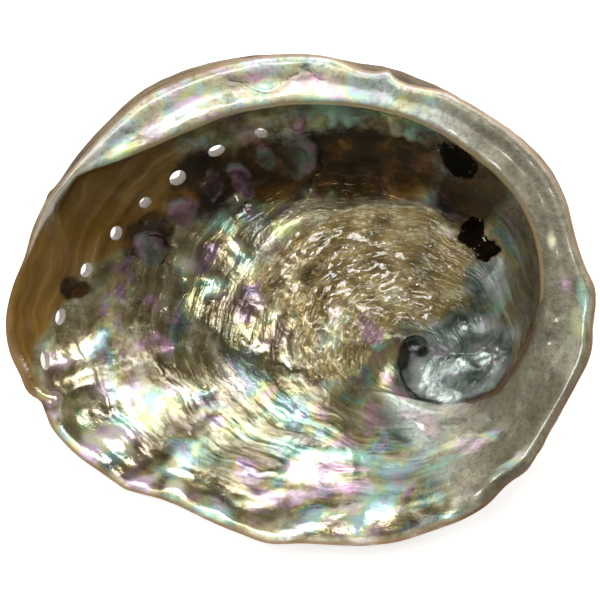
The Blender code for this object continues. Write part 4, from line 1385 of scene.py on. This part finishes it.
# %% Outer crust
crust_skin, tree, surface = new_finish("outer_crust_worn_lime", {"IOR": 1.5, "Roughness": 0.62})
place = node(tree, "TexCoord").outputs["Object"]
ruler = node(tree, "Attribute", {"attribute_name": "growth"}).outputs["Vector"]
banded = node(tree, "Mapping", {"Scale": (7, 1, 1)}, {"Vector": ruler}).outputs["Vector"]
bands = textured(tree, banded, 56, 6, 0.6).outputs["Fac"]
blotch = textured(tree, place, 75, 5, 0.65).outputs["Fac"]
grit = textured(tree, place, 900, 4, 0.7).outputs["Fac"]
band_colour = coloured(tree, bands, (
    (0.34, "#1c0e08"), (0.43, "#472910"), (0.49, "#6b5230"), (0.55, "#93835f"), (0.60, "#5a3a20"),
    (0.70, "#341a10"),
))
blotch_colour = coloured(tree, blotch, (
    (0.35, "#3c2c18"), (0.48, "#5f4f31"), (0.56, "#7b7354"), (0.68, "#b3ab91"),
))
mixed = node(tree, "Mix", {"data_type": "RGBA", FACTOR: 0.34},
             {MIX_A: band_colour, MIX_B: blotch_colour}).outputs[MIX_OUT]
grit_dark = ranged(tree, grit, 0.3, 0.7, 0.75, 1.1)
gritty = node(tree, "Mix", {"data_type": "RGBA", "blend_type": "MULTIPLY", FACTOR: 1.0},
              {MIX_A: mixed, MIX_B: grit_dark}).outputs[MIX_OUT]
tree.links.new(gritty, surface.inputs["Base Color"])
crust_normal = bump(tree, grit, 0.0003, bump(tree, bands, 0.0020))
tree.links.new(crust_normal, surface.inputs["Normal"])
print("crust ready")

# %% Putting the finishes on
SMOOTH_UP_TO = 50           # degrees between faces, above which an edge stays sharp
shell.data.materials.clear()
shell.data.materials.append(nacre)
shell.data.materials.append(crust_skin)
shell.data.polygons.foreach_set("material_index", np.ascontiguousarray(face_slot, np.int32))
make_active(shell)
bpy.ops.object.shade_smooth_by_angle(angle=math.radians(SMOOTH_UP_TO))
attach(shell, "root")
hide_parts("abalone_shell")
print("shell dressed:", len(shell.data.polygons), "faces")

# %% [markdown]
# ## Floor, light and camera
#
# The shell lies on white paper that is lit from below a little, as on a light table, so the
# holes look light. Gloss needs something to mirror: large soft lamps show as broad gleams on
# the folds, and the grey of the room between them keeps the pearl deep.

# %% White paper
PAPER_SIZE = 6
PAPER_LEVEL = -0.0002       # a little below the shell, so that the two don't touch
deselect_all()
bpy.ops.mesh.primitive_plane_add(size=PAPER_SIZE, location=(0, 0, PAPER_LEVEL))
floor = bpy.context.object
floor.name = "pale_floor"
paper, _, _ = new_finish("white_paper", {
    "Base Color": linear("#f6f5f3"), "Roughness": 0.9, "Emission Color": (1, 1, 1, 1),
    "Emission Strength": 0.6,
})
floor.data.materials.append(paper)
print("floor ready")

# %% Soft lamps


def softbox(name, place, size, power):
    """A large soft lamp that looks at the shell."""
    lamp = bpy.data.lights.new(name, "AREA")
    lamp.shape = "RECTANGLE"
    lamp.size, lamp.size_y = size
    lamp.energy = power
    item = bpy.data.objects.new(name, lamp)
    bpy.context.scene.collection.objects.link(item)
    item.location = place
    item.rotation_euler = (AIM - Vector(place)).to_track_quat("-Z", "Y").to_euler()


# lamp: place, size, power in watts
LAMPS = {
    "softbox_back": ((0.1, 1.1, 0.62), (0.7, 0.4), 9),
    "softbox_low_right": ((0.8, 0.85, 0.45), (0.6, 0.35), 11),
    "softbox_left": ((-0.8, 0.1, 0.9), (0.3, 0.5), 2),
    "softbox_above": ((-0.2, 0.05, 1.3), (0.25, 0.25), 7),
}
AIM = Vector((0, 0, 0.02))
for name, settings in LAMPS.items():
    softbox(name, *settings)
world = bpy.data.worlds.new("studio")
world.use_nodes = True
room = world.node_tree.nodes["Background"]
room.inputs["Color"].default_value = linear("#bcb29c")
room.inputs["Strength"].default_value = 0.22
bpy.context.scene.world = world
bpy.context.scene.view_settings.view_transform = "Standard"
print("lamps ready")

# %% Camera straight above
CAMERA_HEIGHT = 2.5
RIM_LEVEL = 0.038
VIEW_WIDTH = 0.1518         # what the picture shows at the level of the rim
VIEW_MIDDLE = -0.0002
SENSOR = 36
camera_data = bpy.data.cameras.new("camera")
camera_data.sensor_width = SENSOR
camera_data.lens = SENSOR * (CAMERA_HEIGHT - RIM_LEVEL) / VIEW_WIDTH
camera = bpy.data.objects.new("camera", camera_data)
bpy.context.scene.collection.objects.link(camera)
camera.location = (VIEW_MIDDLE, 0, CAMERA_HEIGHT)
bpy.context.scene.camera = camera
print("camera lens:", camera_data.lens)
